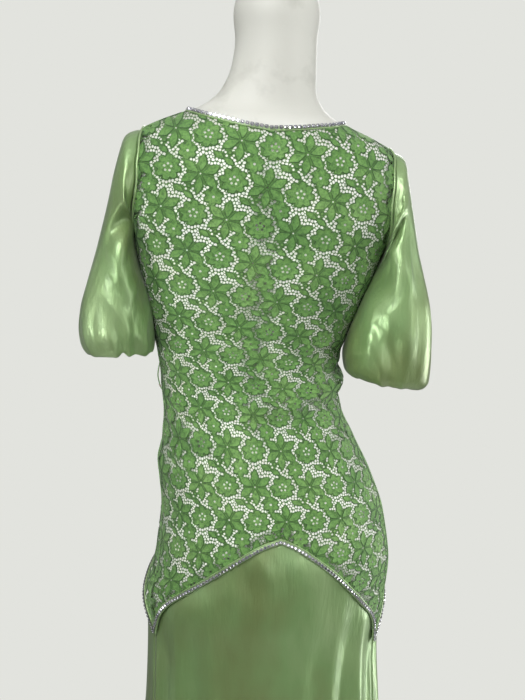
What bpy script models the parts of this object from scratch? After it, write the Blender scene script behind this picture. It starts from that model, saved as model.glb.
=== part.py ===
"""A bias cut evening dress worn by a limbless dress form on a stand.

The lace bodice reaches the hips and ends in a pointed hem, the satin skirt hangs from under that hem to the
floor, and the satin sleeves puff out to the elbow. The sizes here are millimetres and degrees, and the objects
are made in metres, +Z up, with the front of the dress facing -Y and the origin on the floor under the stand.
Angles run round the figure from the middle of the back (0) over the wearer's left side (90, on +X) to the
middle of the front (180).
"""

import math

import bmesh
import bpy
import numpy as np
from mathutils import Vector
from mathutils.geometry import delaunay_2d_cdt

MM = 0.001

# Cloth and the gaps between its layers
LACE_THICK = 1.2
SATIN_THICK = 1.0
SEAM_GAP = 0.3
UNDER_LACE = 1.3  # from the skirt's outer face to the lace over it
HEM_OVERLAP = 10.0  # how far the skirt reaches up under the lace
FLOOR_CLEARANCE = 22.0

# The figure under the lace and the skirt, a row for each level: height, middle across, half width, middle from
# front to back, back, front, squareness of the outline, sideways lean of the level
FIGURE_COLUMNS = ("height", "mid_x", "half_width", "mid_y", "back", "front", "square", "lean")
FIGURE = [
    (15, -3, 350, 10, 332, -298, 2.0, 0.0),
    (150, -5, 288, 8, 260, -234, 2.0, 0.0),
    (300, -8, 230, 6, 188, -170, 2.0, 0.0),
    (440, -11, 189, 5, 137, -125, 2.0, 0.0),
    (570, -12, 173, 5, 120, -109, 2.1, 0.0),
    (680, -10, 168, 5, 127, -110, 2.1, 0.0),
    (750, -13, 171, 8, 138, -112, 2.1, 0.0),
    (810, -21, 166, 10, 140, -111, 2.1, 0.0),
    (870, -19, 158, 8, 130, -109, 2.1, 0.0),
    (925, -7, 150, 4, 114, -107, 2.1, 0.0),
    (975, 3, 135, 0, 97, -103, 2.1, 0.0),
    (1020, 13, 125, -4, 86, -99, 2.1, 0.0),
    (1060, 17, 125, -5, 82, -99, 2.1, 0.0),
    (1090, 19, 128, -5, 83, -102, 2.1, 0.2),
    (1120, 18, 137, -4, 86, -106, 2.1, 0.5),
    (1158, 16, 149, 0, 92, -112, 2.2, 1.0),
    (1197, 13, 160, 4, 98, -118, 2.3, 1.8),
    (1245, 10, 174, 8, 102, -119, 2.4, 2.6),
    (1290, 8, 190, 11, 104, -108, 2.5, 3.2),
    (1330, 6, 193, 13, 103, -90, 2.5, 3.3),
    (1362, 4, 186, 15, 97, -73, 2.4, 3.3),
    (1385, 2, 171, 15, 88, -59, 2.3, 3.3),
    (1398, 3, 148, 15, 80, -49, 2.2, 3.3),
    (1409, 4, 123, 14, 72, -41, 2.1, 3.3),
    (1419, 5, 100, 13, 65, -36, 2.1, 3.2),
    (1432, 4, 80, 12, 60, -35, 2.1, 2.8),
    (1452, 1, 65, 11, 58, -38, 2.1, 2.0),
    (1485, -5, 58, 9, 57, -43, 2.1, 0.8),
    (1520, -7, 56, 8, 57, -46, 2.1, 0.0),
    (1553, -7, 59, 8, 59, -48, 2.1, 0.0),
    (1573, -7, 56, 8, 55, -44, 2.1, 0.0),
    (1582, -7, 46, 8, 45, -33, 2.1, 0.0),
    (1585, -7, 30, 8, 30, -18, 2.1, 0.0),
]

# The neckline, the same on both sides
NECKLINE_COLUMNS = ("angle", "height")
NECKLINE = [(0, 1399), (30, 1402.5), (60, 1410), (90, 1417.5), (115, 1405), (145, 1376), (180, 1358)]

# The pointed hem of the lace: a peak in the middle of the back and of the front, a point at each side
HEM_COLUMNS = ("angle", "height")
HEM_BACK = [(0, 851), (9, 843), (25, 819), (42, 785), (54, 758), (61, 741), (66, 722), (70, 690)]
HEM_FRONT = [(70, 690), (78, 723), (86, 745), (98, 769), (120, 800), (150, 830), (170, 843), (180, 846)]
HEM_POINT_ANGLE = 70.0
HEM_LEAN = 8.0  # the left point is this much above the table's height, the right one below

# The side seam of the lace, from the hem's point up to the underarm
SIDE_SEAM_COLUMNS = ("height", "angle")
SIDE_SEAM = [(680, 70), (760, 75), (850, 81), (950, 86), (1050, 89), (1245, 90)]
SIDE_SEAM_STEPS = 19
TIP_MITRE = 16.0  # up the seam from the hem's point to where the trimmed strip's inner side meets it
SHOULDER_STEPS = 5
NECK_STEPS = 10

# The armhole, an upright loop at the side
ARMHOLE_BOTTOM = 1245.0
ARMHOLE_TOP = 1385.0
ARMHOLE_SPAN = {"back": 16.5, "front": 17.0}
ARMHOLE_STEPS = 12

# The lace: its repeat is drawn in with the cloth, by this scale at a height
LACE_SCALE_COLUMNS = ("height", "scale")
LACE_SCALE = [
    (650, 0.86),
    (850, 0.85),
    (930, 0.8),
    (1020, 0.8),
    (1130, 0.88),
    (1200, 0.95),
    (1260, 1),
    (1430, 1),
]
LACE_REPEAT_WIDE = 92.0
LACE_REPEAT_HIGH = 57.5
# How the lace's repeat lies on the figure, a row for each height: how far to the right of the panel's middle the
# repeat's own middle lies, the scale across, the way up in the repeat's measure, and the fall of its rows
LACE_LIE_COLUMNS = ("height", "middle", "across", "up", "fall")
LACE_LIE = [
    (640, -8, 0.87, -416, -0.03),
    (760, 0, 0.87, -266, -0.03),
    (838, 5, 0.85, -168, -0.02),
    (870, 8, 0.84, -128, -0.01),
    (940, 17, 0.8, -36, 0.026),
    (1000, 27, 0.776, 36, 0.107),
    (1060, 40, 0.815, 122, 0.168),
    (1120, 58, 0.893, 213, 0.184),
    (1190, 71, 0.952, 309, 0.164),
    (1260, 81, 0.974, 394, 0.144),
    (1340, 90, 0.969, 483, 0.131),
    (1440, 101, 0.969, 590, 0.12),
]
LACE_START = {"back": (0.0, 0.0), "front": (20.0, -34.0)}  # the middle of one daisy, in the repeat's measure
# The largest gaps of a repeat: how far they lie to the right of and above the daisy's middle
LACE_GAPS = [(-10.0, -26.7), (-21.0, -37.7)]
LACE_GAP_RADIUS = 3.2
LACE_GAP_SIDES = 4
LACE_GAP_MARGIN = 13.0
LACE_ROWS = range(-8, 12)
LACE_COLUMNS = range(-6, 6)
LACE_EDGE_STEP = 24.0
FOLD_CREST_STEP = 24.0
# The points between the gaps: their spacing, and how far they stay from the panel's parts
FIELD = {"across": 40.0, "up": 35.0, "crest": 20.0, "edge": 15.0, "strip": 12.0, "gap": 12.0}
GAP_TO_STRIP = 5.2
SHOULDER_RIDGE = {"from_seam": (6.0, 13.0, 22.0), "heights": (1384.0, 1396.0, 1407.0)}

# The rolls and drag lines of the lace, a row for each: its two ends, half width and rise
FOLD_COLUMNS = ("turn_1", "along_1", "turn_2", "along_2", "half_width", "rise")
LACE_FOLDS = [
    (-100, 1062, -34, 1028, 14, 7.0),
    (-44, 1030, 14, 1022, 13, 4.5),
    (80, 1012, 40, 962, 12, 3.5),
    (84, 982, 50, 934, 11, 3.0),
    (92, 955, 68, 925, 15, 4.0),
    (172, 1040, 104, 1016, 14, 4.0),
]
FOLD_ENDS = 0.12  # a fold rises along its length as a sine wave does, from this share of half a wave
MM_PER_DEGREE = 2.2  # round the waist, for the folds' lengths
# How far the lace's left point stands off the skirt, and where
TIP_FLARE = {"angle": 78, "half_turn": 13, "height": 738, "half_height": 40, "rise": 5.0}

# The skirt's seams and flutes, a row for each flute: angle, the height where it starts, half width, rise
SKIRT_SEAM_ANGLE = 72.0
SKIRT_ROWS = (1, 0.94, 0.85, 0.72, 0.58, 0.44, 0.3, 0.15, 0)
SKIRT_COLUMN_STEP = 6.0
FLUTE_COLUMNS = ("angle", "start", "half_width", "rise")
FLUTES = [
    (-2, 600, 12, 38),
    (27, 640, 11, 46),
    (57, 700, 10, 54),
    (89, 600, 12, 42),
    (119, 640, 11, 50),
    (151, 600, 12, 40),
    (181, 650, 12, 48),
    (-149, 620, 11, 42),
    (-117, 660, 11, 52),
    (-87, 610, 11, 40),
    (-58, 720, 9, 54),
    (-31, 680, 11, 44),
]
FLUTE_GROWTH = 1.4
FLUTE_TOP = 620.0
FLUTE_VALLEY = 20.0  # how far the cloth falls in between the flutes at the hem

# The sleeves, a row for each ring: share of the way down, the ring's outer point, its inner point, its middle
# and half size from front to back. The first ring is the armhole itself.
SLEEVE_COLUMNS = ("share", "outer_x", "outer_z", "inner_x", "inner_z", "mid_y", "half_y")
SLEEVES = {
    "left": [
        (0.07, 197, 1389, 195, 1247, 13, 57),
        (0.20, 207, 1350, 190, 1231, 14, 61),
        (0.36, 219, 1290, 178, 1216, 17, 65),
        (0.50, 232, 1235, 166, 1196, 20, 68),
        (0.64, 246, 1182, 160, 1166, 21, 70),
        (0.78, 256, 1133, 155, 1130, 22, 70),
        (0.88, 253, 1104, 152, 1107, 22, 66),
        (0.94, 242, 1090, 155, 1094, 22, 58),
        (0.97, 236, 1091, 162, 1095, 22, 52),
        (1.00, 234, 1098, 165, 1102, 22, 49),
    ],
    "right": [
        (0.07, 188, 1369, 176, 1231, 13, 57),
        (0.20, 195, 1337, 170, 1216, 15, 61),
        (0.36, 205, 1290, 157, 1202, 19, 65),
        (0.50, 217, 1238, 142, 1188, 23, 69),
        (0.64, 230, 1187, 134, 1160, 25, 72),
        (0.78, 240, 1135, 124, 1126, 26, 73),
        (0.88, 241, 1085, 116, 1090, 26, 70),
        (0.94, 238, 1055, 119, 1068, 26, 60),
        (0.97, 223, 1048, 130, 1059, 26, 49),
        (1.00, 214, 1056, 138, 1066, 26, 44),
    ],
}
SLEEVE_RINGS = (0, 0.07, 0.14, 0.23, 0.33, 0.43, 0.53, 0.63, 0.72, 0.80, 0.87, 0.93, 0.97, 1)
SLEEVE_SEAM = 1.0  # from the lace's outer face to the sleeve's first ring
SLEEVE_BESIDE = 3.2  # from the figure to the middle of the sleeve's cloth where it lies along the bodice
BODICE_SIDE = np.arange(160.0, 19.0, -2.0)  # the angles of the bodice's side, from front to back
SLEEVE_SQUARE = 2.2
SLEEVE_GATHERS = 11
SLEEVE_GATHER_RISE = 2.6
SLEEVE_GATHER_START = 0.66
# The large folds of the sleeves: turn round the sleeve (0 outer, 90 back, 180 inner) and percent of the way down
SLEEVE_FOLDS = {
    "left": [
        (50, 34, 110, 66, 16, 5.0),
        (100, 24, 140, 56, 18, -6.0),
        (20, 62, 70, 80, 15, -4.0),
        (130, 60, 150, 84, 14, 4.0),
        (250, 30, 215, 70, 18, -5.0),
        (290, 40, 320, 75, 18, 4.0),
    ],
    "right": [
        (100, 22, 50, 26, 15, -4.0),
        (96, 34, 52, 44, 16, -6.0),
        (100, 44, 84, 72, 22, 5.0),
        (30, 55, 50, 84, 14, -4.0),
        (260, 28, 225, 66, 18, -5.0),
        (300, 42, 318, 78, 18, 4.0),
    ],
}
MM_PER_SLEEVE_DEGREE = 0.95
MM_PER_PERCENT = 3.0

# Trimmings: the edges of the binding and of the crystal chain are counted from the edge of the lace
STRIP_WIDTH = 7.4
BINDING_EDGES = (0.5, 6.8)
BINDING_THICK = 0.9
CHAIN_EDGES = (1.0, 5.8)
CHAIN_THICK = 2.8
PIPING_RADIUS = 1.3
PIPING_AWAY = 3.6  # from the armhole's edge to the middle of the piping
PIPING_SLACK = 0.2  # between seam gap and piping, where the lace bends under it
PIPING_SIDES = 5
MM_PER_ARM_DEGREE = 3.1  # round the armholes
LOOP_RADIUS = 0.8
LOOP_ENDS = (1038.0, 1076.0)
LOOP_ANGLE = 84.0
LOOP_RISE = 4.5
LOOP_STEPS = 8

# The dress form and its stand
FORM_SIDES = 32
FORM_PLATE = 176.0  # the flat plates over the form's armholes, from its middle
FORM_GAP_COLUMNS = ("height", "gap")
FORM_GAPS = [
    (600, 9),
    (700, 7),
    (800, 5.8),
    (900, 4.6),
    (1090, 4.6),
    (1250, 3.4),
    (1385, 4),
    (1398, 5),
    (1409, 4.4),
    (1419, 2.2),
    (1432, 1),
    (1452, 0),
    (1585, 0),
]
FORM_LEVELS = (
    600, 690, 780, 850, 910, 960, 990, 1015, 1050, 1100, 1160, 1220, 1270, 1320, 1360, 1385, 1398, 1409,
    1419, 1432, 1452, 1485, 1520, 1553, 1573, 1582, 1585,
)
SPINE = {"depth": 6.0, "half_width": 7.0, "from": 960.0, "to": 1380.0}
STAND_SIDES = 28
BASE_PROFILE = [(0, 0), (170, 0), (170, 11), (164, 16), (0, 16)]
POLE_PROFILE = [(0, 0), (34, 0), (34, 18), (26, 26), (17, 30), (17, 570), (40, 574), (40, 583.4), (0, 583.4)]

MATERIALS = {
    "lace": {"Base Color": (0.13, 0.33, 0.10, 1), "Roughness": 0.85},
    "satin": {"Base Color": (0.30, 0.46, 0.22, 1), "Roughness": 0.32},
    "crystal": {"Base Color": (0.80, 0.80, 0.84, 1), "Roughness": 0.15, "Metallic": 0.8},
    "thread": {"Base Color": (0.20, 0.42, 0.16, 1), "Roughness": 0.8},
    "form": {"Base Color": (0.82, 0.83, 0.78, 1), "Roughness": 0.3},
    "metal": {"Base Color": (0.62, 0.62, 0.60, 1), "Roughness": 0.35, "Metallic": 0.9},
}


# Reading the tables


def read(table, names, by, name, at):
    """A column as a smooth curve over another column. It passes through the rows and never overshoots them."""
    xs = np.array([row[names.index(by)] for row in table], float)
    ys = np.array([row[names.index(name)] for row in table], float)
    at = np.clip(np.asarray(at, float), xs[0], xs[-1])
    step = np.diff(xs)
    slope = np.diff(ys) / step
    tangent = np.concatenate([slope[:1], np.zeros(len(xs) - 2), slope[-1:]])
    for i in range(1, len(xs) - 1):
        if slope[i - 1] * slope[i] > 0:
            before, after = 2 * step[i] + step[i - 1], step[i] + 2 * step[i - 1]
            tangent[i] = (before + after) / (before / slope[i - 1] + after / slope[i])
    k = np.clip(np.searchsorted(xs, at) - 1, 0, len(xs) - 2)
    t = (at - xs[k]) / step[k]
    value = ys[k] * (1 + 2 * t) * (1 - t) ** 2 + ys[k + 1] * t * t * (3 - 2 * t)
    return value + step[k] * (tangent[k] * t * (1 - t) ** 2 - tangent[k + 1] * t * t * (1 - t))


def wrap(angle):
    """An angle between -180 and 180."""
    return (np.asarray(angle, float) + 180) % 360 - 180


def unit(vectors):
    return vectors / np.linalg.norm(vectors, axis=-1, keepdims=True)


def fold_rise(folds, turn, along, mm_per_turn, mm_per_along):
    """The rise of a set of folds at places on a cloth."""
    here = np.stack([turn * mm_per_turn, along * mm_per_along], -1)
    rise = np.zeros(here.shape[:-1])
    for row in folds:
        fold = dict(zip(FOLD_COLUMNS, row))
        start = np.array([fold["turn_1"] * mm_per_turn, fold["along_1"] * mm_per_along])
        way = np.array([fold["turn_2"] * mm_per_turn, fold["along_2"] * mm_per_along]) - start
        share = np.clip((here - start) @ way / (way @ way), 0, 1)
        off = np.linalg.norm(here - start - share[..., None] * way, axis=-1) / fold["half_width"]
        wave = np.sin(np.pi * (FOLD_ENDS + (1 - 2 * FOLD_ENDS) * share))
        rise += fold["rise"] * np.exp(-off * off) * wave
    return rise


# The surfaces, as functions of angle and height


def figure(angle, height):
    """The figure itself."""
    angle, height = np.broadcast_arrays(np.asarray(angle, float), np.asarray(height, float))
    at = {name: read(FIGURE, FIGURE_COLUMNS, "height", name, height) for name in FIGURE_COLUMNS[1:]}
    across, along = np.sin(np.radians(angle)), np.cos(np.radians(angle))
    reach = np.where(along > 0, at["back"] - at["mid_y"], at["mid_y"] - at["front"])
    squares = np.abs(across / at["half_width"]) ** at["square"] + np.abs(along / reach) ** at["square"]
    radius = squares ** (-1 / at["square"])
    x = radius * across
    z = height + np.tan(np.radians(at["lean"])) * x
    return np.stack([at["mid_x"] + x, at["mid_y"] + radius * along, z], -1)


def outward(surface, angle, height, turn=0.4, rise=0.6):
    """The direction that points straight out of a surface, found from places a small turn and rise apart."""
    around = surface(angle + turn, height) - surface(angle - turn, height)
    up = surface(angle, height + rise) - surface(angle, height - rise)
    return unit(np.cross(up, around))


def lace_inside(angle, height):
    """The inner face of the lace: the figure with the cloth's folds on it."""
    angle, height = np.broadcast_arrays(np.asarray(angle, float), np.asarray(height, float))
    rise = fold_rise(LACE_FOLDS, wrap(angle), height, MM_PER_DEGREE, 1)
    turned = (wrap(angle) - TIP_FLARE["angle"]) / TIP_FLARE["half_turn"]
    lifted = (height - TIP_FLARE["height"]) / TIP_FLARE["half_height"]
    rise += TIP_FLARE["rise"] * np.exp(-turned * turned - lifted * lifted)
    return figure(angle, height) + outward(figure, angle, height) * rise[..., None]


def skirt_middle(angle, height):
    """The middle of the skirt's cloth, close under the lace and then falling in flutes."""
    angle, height = np.broadcast_arrays(np.asarray(angle, float), np.asarray(height, float))
    under = outward(figure, angle, height) * -(UNDER_LACE + SATIN_THICK / 2)
    rise = -FLUTE_VALLEY * np.clip((FLUTE_TOP - height) / FLUTE_TOP, 0, 1) ** FLUTE_GROWTH
    for row in FLUTES:
        flute = dict(zip(FLUTE_COLUMNS, row))
        off = wrap(angle - flute["angle"]) / flute["half_width"]
        drop = np.clip((flute["start"] - height) / flute["start"], 0, 1)
        rise = rise + flute["rise"] * drop**FLUTE_GROWTH * np.exp(-off * off)
    level = outward(figure, angle, height) * (1, 1, 0)
    return figure(angle, height) + under + level * rise[..., None]


def hem_height(angle):
    turn = np.abs(wrap(angle))
    back = read(HEM_BACK, HEM_COLUMNS, "angle", "height", turn)
    front = read(HEM_FRONT, HEM_COLUMNS, "angle", "height", turn)
    return np.where(turn <= HEM_POINT_ANGLE, back, front) + HEM_LEAN * np.sin(np.radians(angle))


def neck_height(angle):
    return read(NECKLINE, NECKLINE_COLUMNS, "angle", "height", np.abs(wrap(angle)))


# Making objects


def made_material(name):
    """The material of that name, made at its first use."""
    material = bpy.data.materials.get(name)
    if material is None:
        material = bpy.data.materials.new(name)
        material.use_nodes = True
        for socket, value in MATERIALS[name].items():
            material.node_tree.nodes["Principled BSDF"].inputs[socket].default_value = value
    return material


def made_solid(name, points, faces, material):
    """An object from points in millimetres, its faces cut to triangles and turned outwards."""
    mesh = bpy.data.meshes.new(name)
    bm = bmesh.new()
    verts = [bm.verts.new(Vector(p) * MM) for p in points]
    for face in faces:
        bm.faces.new([verts[i] for i in face])
    bmesh.ops.triangulate(bm, faces=[f for f in bm.faces if len(f.verts) > 3])
    bmesh.ops.recalc_face_normals(bm, faces=bm.faces)
    bm.to_mesh(mesh)
    bm.free()
    mesh.materials.append(made_material(material))
    mesh.shade_smooth()
    mesh.set_sharp_from_angle(angle=math.radians(48))
    ob = bpy.data.objects.new(name, mesh)
    bpy.context.scene.collection.objects.link(ob)
    return ob


def made_wall(name, outer, inner, faces, material):
    """A wall between two sheets of points that share their faces, closed along every free edge."""
    count = len(outer)
    edges = {(a, b) for face in faces for a, b in zip(face, [*face[1:], face[0]])}
    solid = [list(face) for face in faces]
    solid += [[i + count for i in reversed(face)] for face in faces]
    solid += [[b, a, a + count, b + count] for a, b in edges if (b, a) not in edges]
    return made_solid(name, [*outer, *inner], solid, material)


def grid_faces(rows, columns, ring):
    """The faces of a grid of points, row by row, joined round where the columns form a ring."""
    faces = []
    for r in range(rows - 1):
        for c in range(columns if ring else columns - 1):
            d = (c + 1) % columns
            faces.append([r * columns + c, r * columns + d, (r + 1) * columns + d, (r + 1) * columns + c])
    return faces


def made_rod(name, stations, closed, material):
    """A solid through a row of outlines that all have the same number of points."""
    rows, sides = len(stations), len(stations[0])
    last = (rows - 1) * sides
    faces = grid_faces(rows, sides, ring=True)
    if closed:
        faces += [[last + c, last + (c + 1) % sides, (c + 1) % sides, c] for c in range(sides)]
    else:
        faces += [list(range(sides)), [last + c for c in range(sides)]]
    return made_solid(name, [p for station in stations for p in station], faces, material)


def tube_outlines(path, closed, radius, sides, up):
    """Round outlines along a path, with up as the direction that the first point of each one faces."""
    ahead = np.roll(path, -1, axis=0) - np.roll(path, 1, axis=0)
    if not closed:
        ahead[0], ahead[-1] = path[1] - path[0], path[-1] - path[-2]
    side = unit(np.cross(ahead, up))
    top = unit(np.cross(side, ahead))
    turns = np.arange(sides) * 2 * math.pi / sides
    return path[:, None] + radius * (
        np.cos(turns)[None, :, None] * top[:, None] + np.sin(turns)[None, :, None] * side[:, None]
    )


# The lace panels

CENTRE = {"back": 0.0, "front": 180.0}
SEAM_SHIFT = {"back": -SEAM_GAP / 2 / MM_PER_DEGREE, "front": SEAM_GAP / 2 / MM_PER_DEGREE}


class LacePlan:
    """A lace panel laid flat: x is the way round from the panel's middle and y the way up, both enlarged where
    the worn lace is drawn in."""

    LOW, HIGH, LEVEL = 640.0, 1440.0, 6.0
    REACH, TURN = 186.0, 3.0
    LENGTHS_AT = 40.0  # the way up is measured at this turn from the middle

    def __init__(self, half):
        centre = CENTRE[half]
        self.heights = np.arange(self.LOW, self.HIGH, self.LEVEL)
        self.angles = centre + np.arange(-self.REACH, self.REACH + self.TURN, self.TURN)
        self.scales = read(LACE_SCALE, LACE_SCALE_COLUMNS, "height", "scale", self.heights)
        rings = figure(self.angles[None, :], self.heights[:, None])
        steps = np.linalg.norm(np.diff(rings, axis=1), axis=-1) / self.scales[:, None]
        way_round = np.concatenate([np.zeros((len(rings), 1)), np.cumsum(steps, axis=1)], axis=1)
        self.across = way_round - way_round[:, [len(self.angles) // 2]]
        rises = np.linalg.norm(np.diff(figure(centre + self.LENGTHS_AT, self.heights), axis=0), axis=-1)
        self.up = np.concatenate([[0], np.cumsum(rises * 2 / (self.scales[1:] + self.scales[:-1]))])

    def level(self, height):
        """The row of the table below a height, and the share of the way to the next row."""
        row = np.clip((height - self.heights[0]) / self.LEVEL, 0, len(self.heights) - 1.001)
        return row.astype(int), row - row.astype(int)

    def flat(self, worn):
        """The flat places of angles and heights."""
        angle, height = np.asarray(worn, float).T
        i, r = self.level(height)
        col = np.clip((angle - self.angles[0]) / self.TURN, 0, len(self.angles) - 1.001)
        j = col.astype(int)
        low = self.across[i, j] + (self.across[i, j + 1] - self.across[i, j]) * (col - j)
        high = self.across[i + 1, j] + (self.across[i + 1, j + 1] - self.across[i + 1, j]) * (col - j)
        return np.stack([low * (1 - r) + high * r, np.interp(height, self.heights, self.up)], -1)

    def worn(self, flat):
        """The angles and heights of flat places."""
        height = np.interp(flat[:, 1], self.up, self.heights)
        rings = [self.across[i] * (1 - r) + self.across[i + 1] * r for i, r in zip(*self.level(height))]
        angle = [np.interp(x, ring, self.angles) for x, ring in zip(flat[:, 0], rings)]
        return np.stack([angle, height], -1)

    def scale(self, height):
        return np.interp(height, self.heights, self.scales)


def spaced(corners, step, plan):
    """A line through corners, with points put in so that no step is longer than step."""
    line = [corners[0]]
    lengths = np.linalg.norm(np.diff(plan.flat(corners), axis=0), axis=-1)
    for a, b, length in zip(corners[:-1], corners[1:], lengths):
        count = max(1, math.ceil(length / step))
        line += [tuple(np.add(a, np.subtract(b, a) * k / count)) for k in range(1, count + 1)]
    return line


def armhole_half(half):
    """Half of the left armhole, from the underarm to the shoulder."""
    middle, reach = (ARMHOLE_TOP + ARMHOLE_BOTTOM) / 2, (ARMHOLE_TOP - ARMHOLE_BOTTOM) / 2
    span = -ARMHOLE_SPAN[half] if half == "back" else ARMHOLE_SPAN[half]
    turns = np.linspace(0, math.pi, ARMHOLE_STEPS + 1)
    return [(90 + span * math.sin(t), middle - reach * math.cos(t)) for t in turns]


def side_lines(half, side, plan):
    """The edges of one side of a panel, as lines of angle and height: the hem from the middle to its point, the
    edge from there up to the neck, and the neckline from there to the middle. Side is 1 on the left."""
    centre, shift = CENTRE[half], SEAM_SHIFT[half]

    def turned(angle):
        return centre + side * (angle - centre)

    rows = HEM_BACK if half == "back" else HEM_FRONT[::-1]
    hem = [(turned(a), float(hem_height(turned(a)))) for a, _ in spaced(rows[:-1], LACE_EDGE_STEP, plan)]
    point = float(hem_height(turned(HEM_POINT_ANGLE)))
    hem.append((turned(HEM_POINT_ANGLE + shift), point))
    levels = np.linspace(point + TIP_MITRE, ARMHOLE_BOTTOM, SIDE_SEAM_STEPS)[:-1]
    seam = read(SIDE_SEAM, SIDE_SEAM_COLUMNS, "height", "angle", levels)
    edge = [(turned(a + shift), h) for a, h in zip(seam, levels)]
    arm = armhole_half(half)
    arm[0], arm[-1] = (arm[0][0] + shift, arm[0][1]), (arm[-1][0] + shift, arm[-1][1])
    edge += [(turned(a), h) for a, h in arm]
    neck_side = float(neck_height(90))
    slope = (neck_side - ARMHOLE_TOP) / np.linalg.norm(figure(90, neck_side) - figure(90, ARMHOLE_TOP))
    levels = [*np.linspace(ARMHOLE_TOP, neck_side - slope * STRIP_WIDTH, SHOULDER_STEPS)[1:], neck_side]
    edge += [(turned(90 + shift), h) for h in levels]
    angles = np.linspace(90 + shift, centre, NECK_STEPS + 1)[1:]
    neck = [edge.pop(), *[(turned(a), float(neck_height(a))) for a in angles]]
    return hem, edge, neck


def moved_in(line, plan, up, ends):
    """A line moved into its panel by the width of the trimmed strip, up or down, to two given end points."""
    flat = plan.flat(line)
    normal = unit(np.diff(flat, axis=0))[:, ::-1] * (-1, 1) * up
    turned = unit(np.concatenate([normal[:1], normal[:-1] + normal[1:], normal[-1:]]))
    width = STRIP_WIDTH / plan.scale(np.array(line)[:, 1])
    sharp = (turned[1:-1] * normal[1:]).sum(-1)
    moved = flat[1:-1] + turned[1:-1] * (width[1:-1] / sharp)[:, None]
    return np.array([ends[0], *plan.worn(moved), ends[1]])


def inside(places, outline):
    """Which places lie within a closed outline."""
    hit = np.zeros(len(places), bool)
    for (x1, y1), (x2, y2) in zip(outline, np.roll(outline, -1, axis=0)):
        if y1 != y2:
            crosses = (y1 > places[:, 1]) != (y2 > places[:, 1])
            hit ^= crosses & (places[:, 0] < (x2 - x1) * (places[:, 1] - y1) / (y2 - y1) + x1)
    return hit


def apart(places, line, closed):
    """Each place's distance from a line."""
    ends = np.roll(line, -1, axis=0) if closed else line[1:]
    best = np.full(len(places), 1e9)
    for a, b in zip(line, ends):
        way = b - a
        share = np.clip((places - a) @ way / (way @ way), 0, 1)
        best = np.minimum(best, np.linalg.norm(places - a - share[:, None] * way, axis=1))
    return best


def lace_lie(repeat, turns=8):
    """How far to the right of the panel's middle and how high places in the repeat's measure lie."""
    across, up = repeat.T
    height = read(LACE_LIE, LACE_LIE_COLUMNS, "up", "height", up)
    for _ in range(turns):
        at = {name: read(LACE_LIE, LACE_LIE_COLUMNS, "height", name, height) for name in LACE_LIE_COLUMNS}
        right = at["middle"] + at["across"] * across
        height = read(LACE_LIE, LACE_LIE_COLUMNS, "up", "height", up - at["fall"] * right)
    return right, height


def gap_places(half, plan, low, high):
    """The middles of the largest gaps of every repeat that falls on the panel's flat area."""
    start = np.array(LACE_START[half])
    repeats = [
        start + (LACE_REPEAT_WIDE * (column + 0.5 * (row % 2)) + a, LACE_REPEAT_HIGH * row + b)
        for row in LACE_ROWS
        for column in LACE_COLUMNS
        for a, b in LACE_GAPS
    ]
    right, height = lace_lie(np.array(repeats))
    places = np.stack([-right / plan.scale(height), np.interp(height, plan.heights, plan.up)], -1)
    return places[(places > low).all(1) & (places < high).all(1)]


def ridge_places(plan, half):
    """Places along the crests of the lace's folds, beside the shoulder seams and under the ends of the belt loop,
    for the mesh to follow."""
    centre = CENTRE[half]
    away = 90 - np.array(SHOULDER_RIDGE["from_seam"])
    turns = centre + np.concatenate([away, -away])
    places = [np.stack(np.meshgrid(turns, SHOULDER_RIDGE["heights"]), -1).reshape(-1, 2)]
    if half == "back":
        places.append(np.array([(LOOP_ANGLE, height) for height in LOOP_ENDS]))
    for row in LACE_FOLDS:
        a1, h1, a2, h2 = row[:4]
        if half == "front":
            a1, a2 = a1 % 360, a2 % 360
        count = math.ceil(math.hypot((a2 - a1) * MM_PER_DEGREE, h2 - h1) / FOLD_CREST_STEP)
        share = np.linspace(0, 1, count + 1)
        places.append(np.stack([a1 + (a2 - a1) * share, h1 + (h2 - h1) * share], -1))
    return plan.flat(np.concatenate(places))


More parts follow.
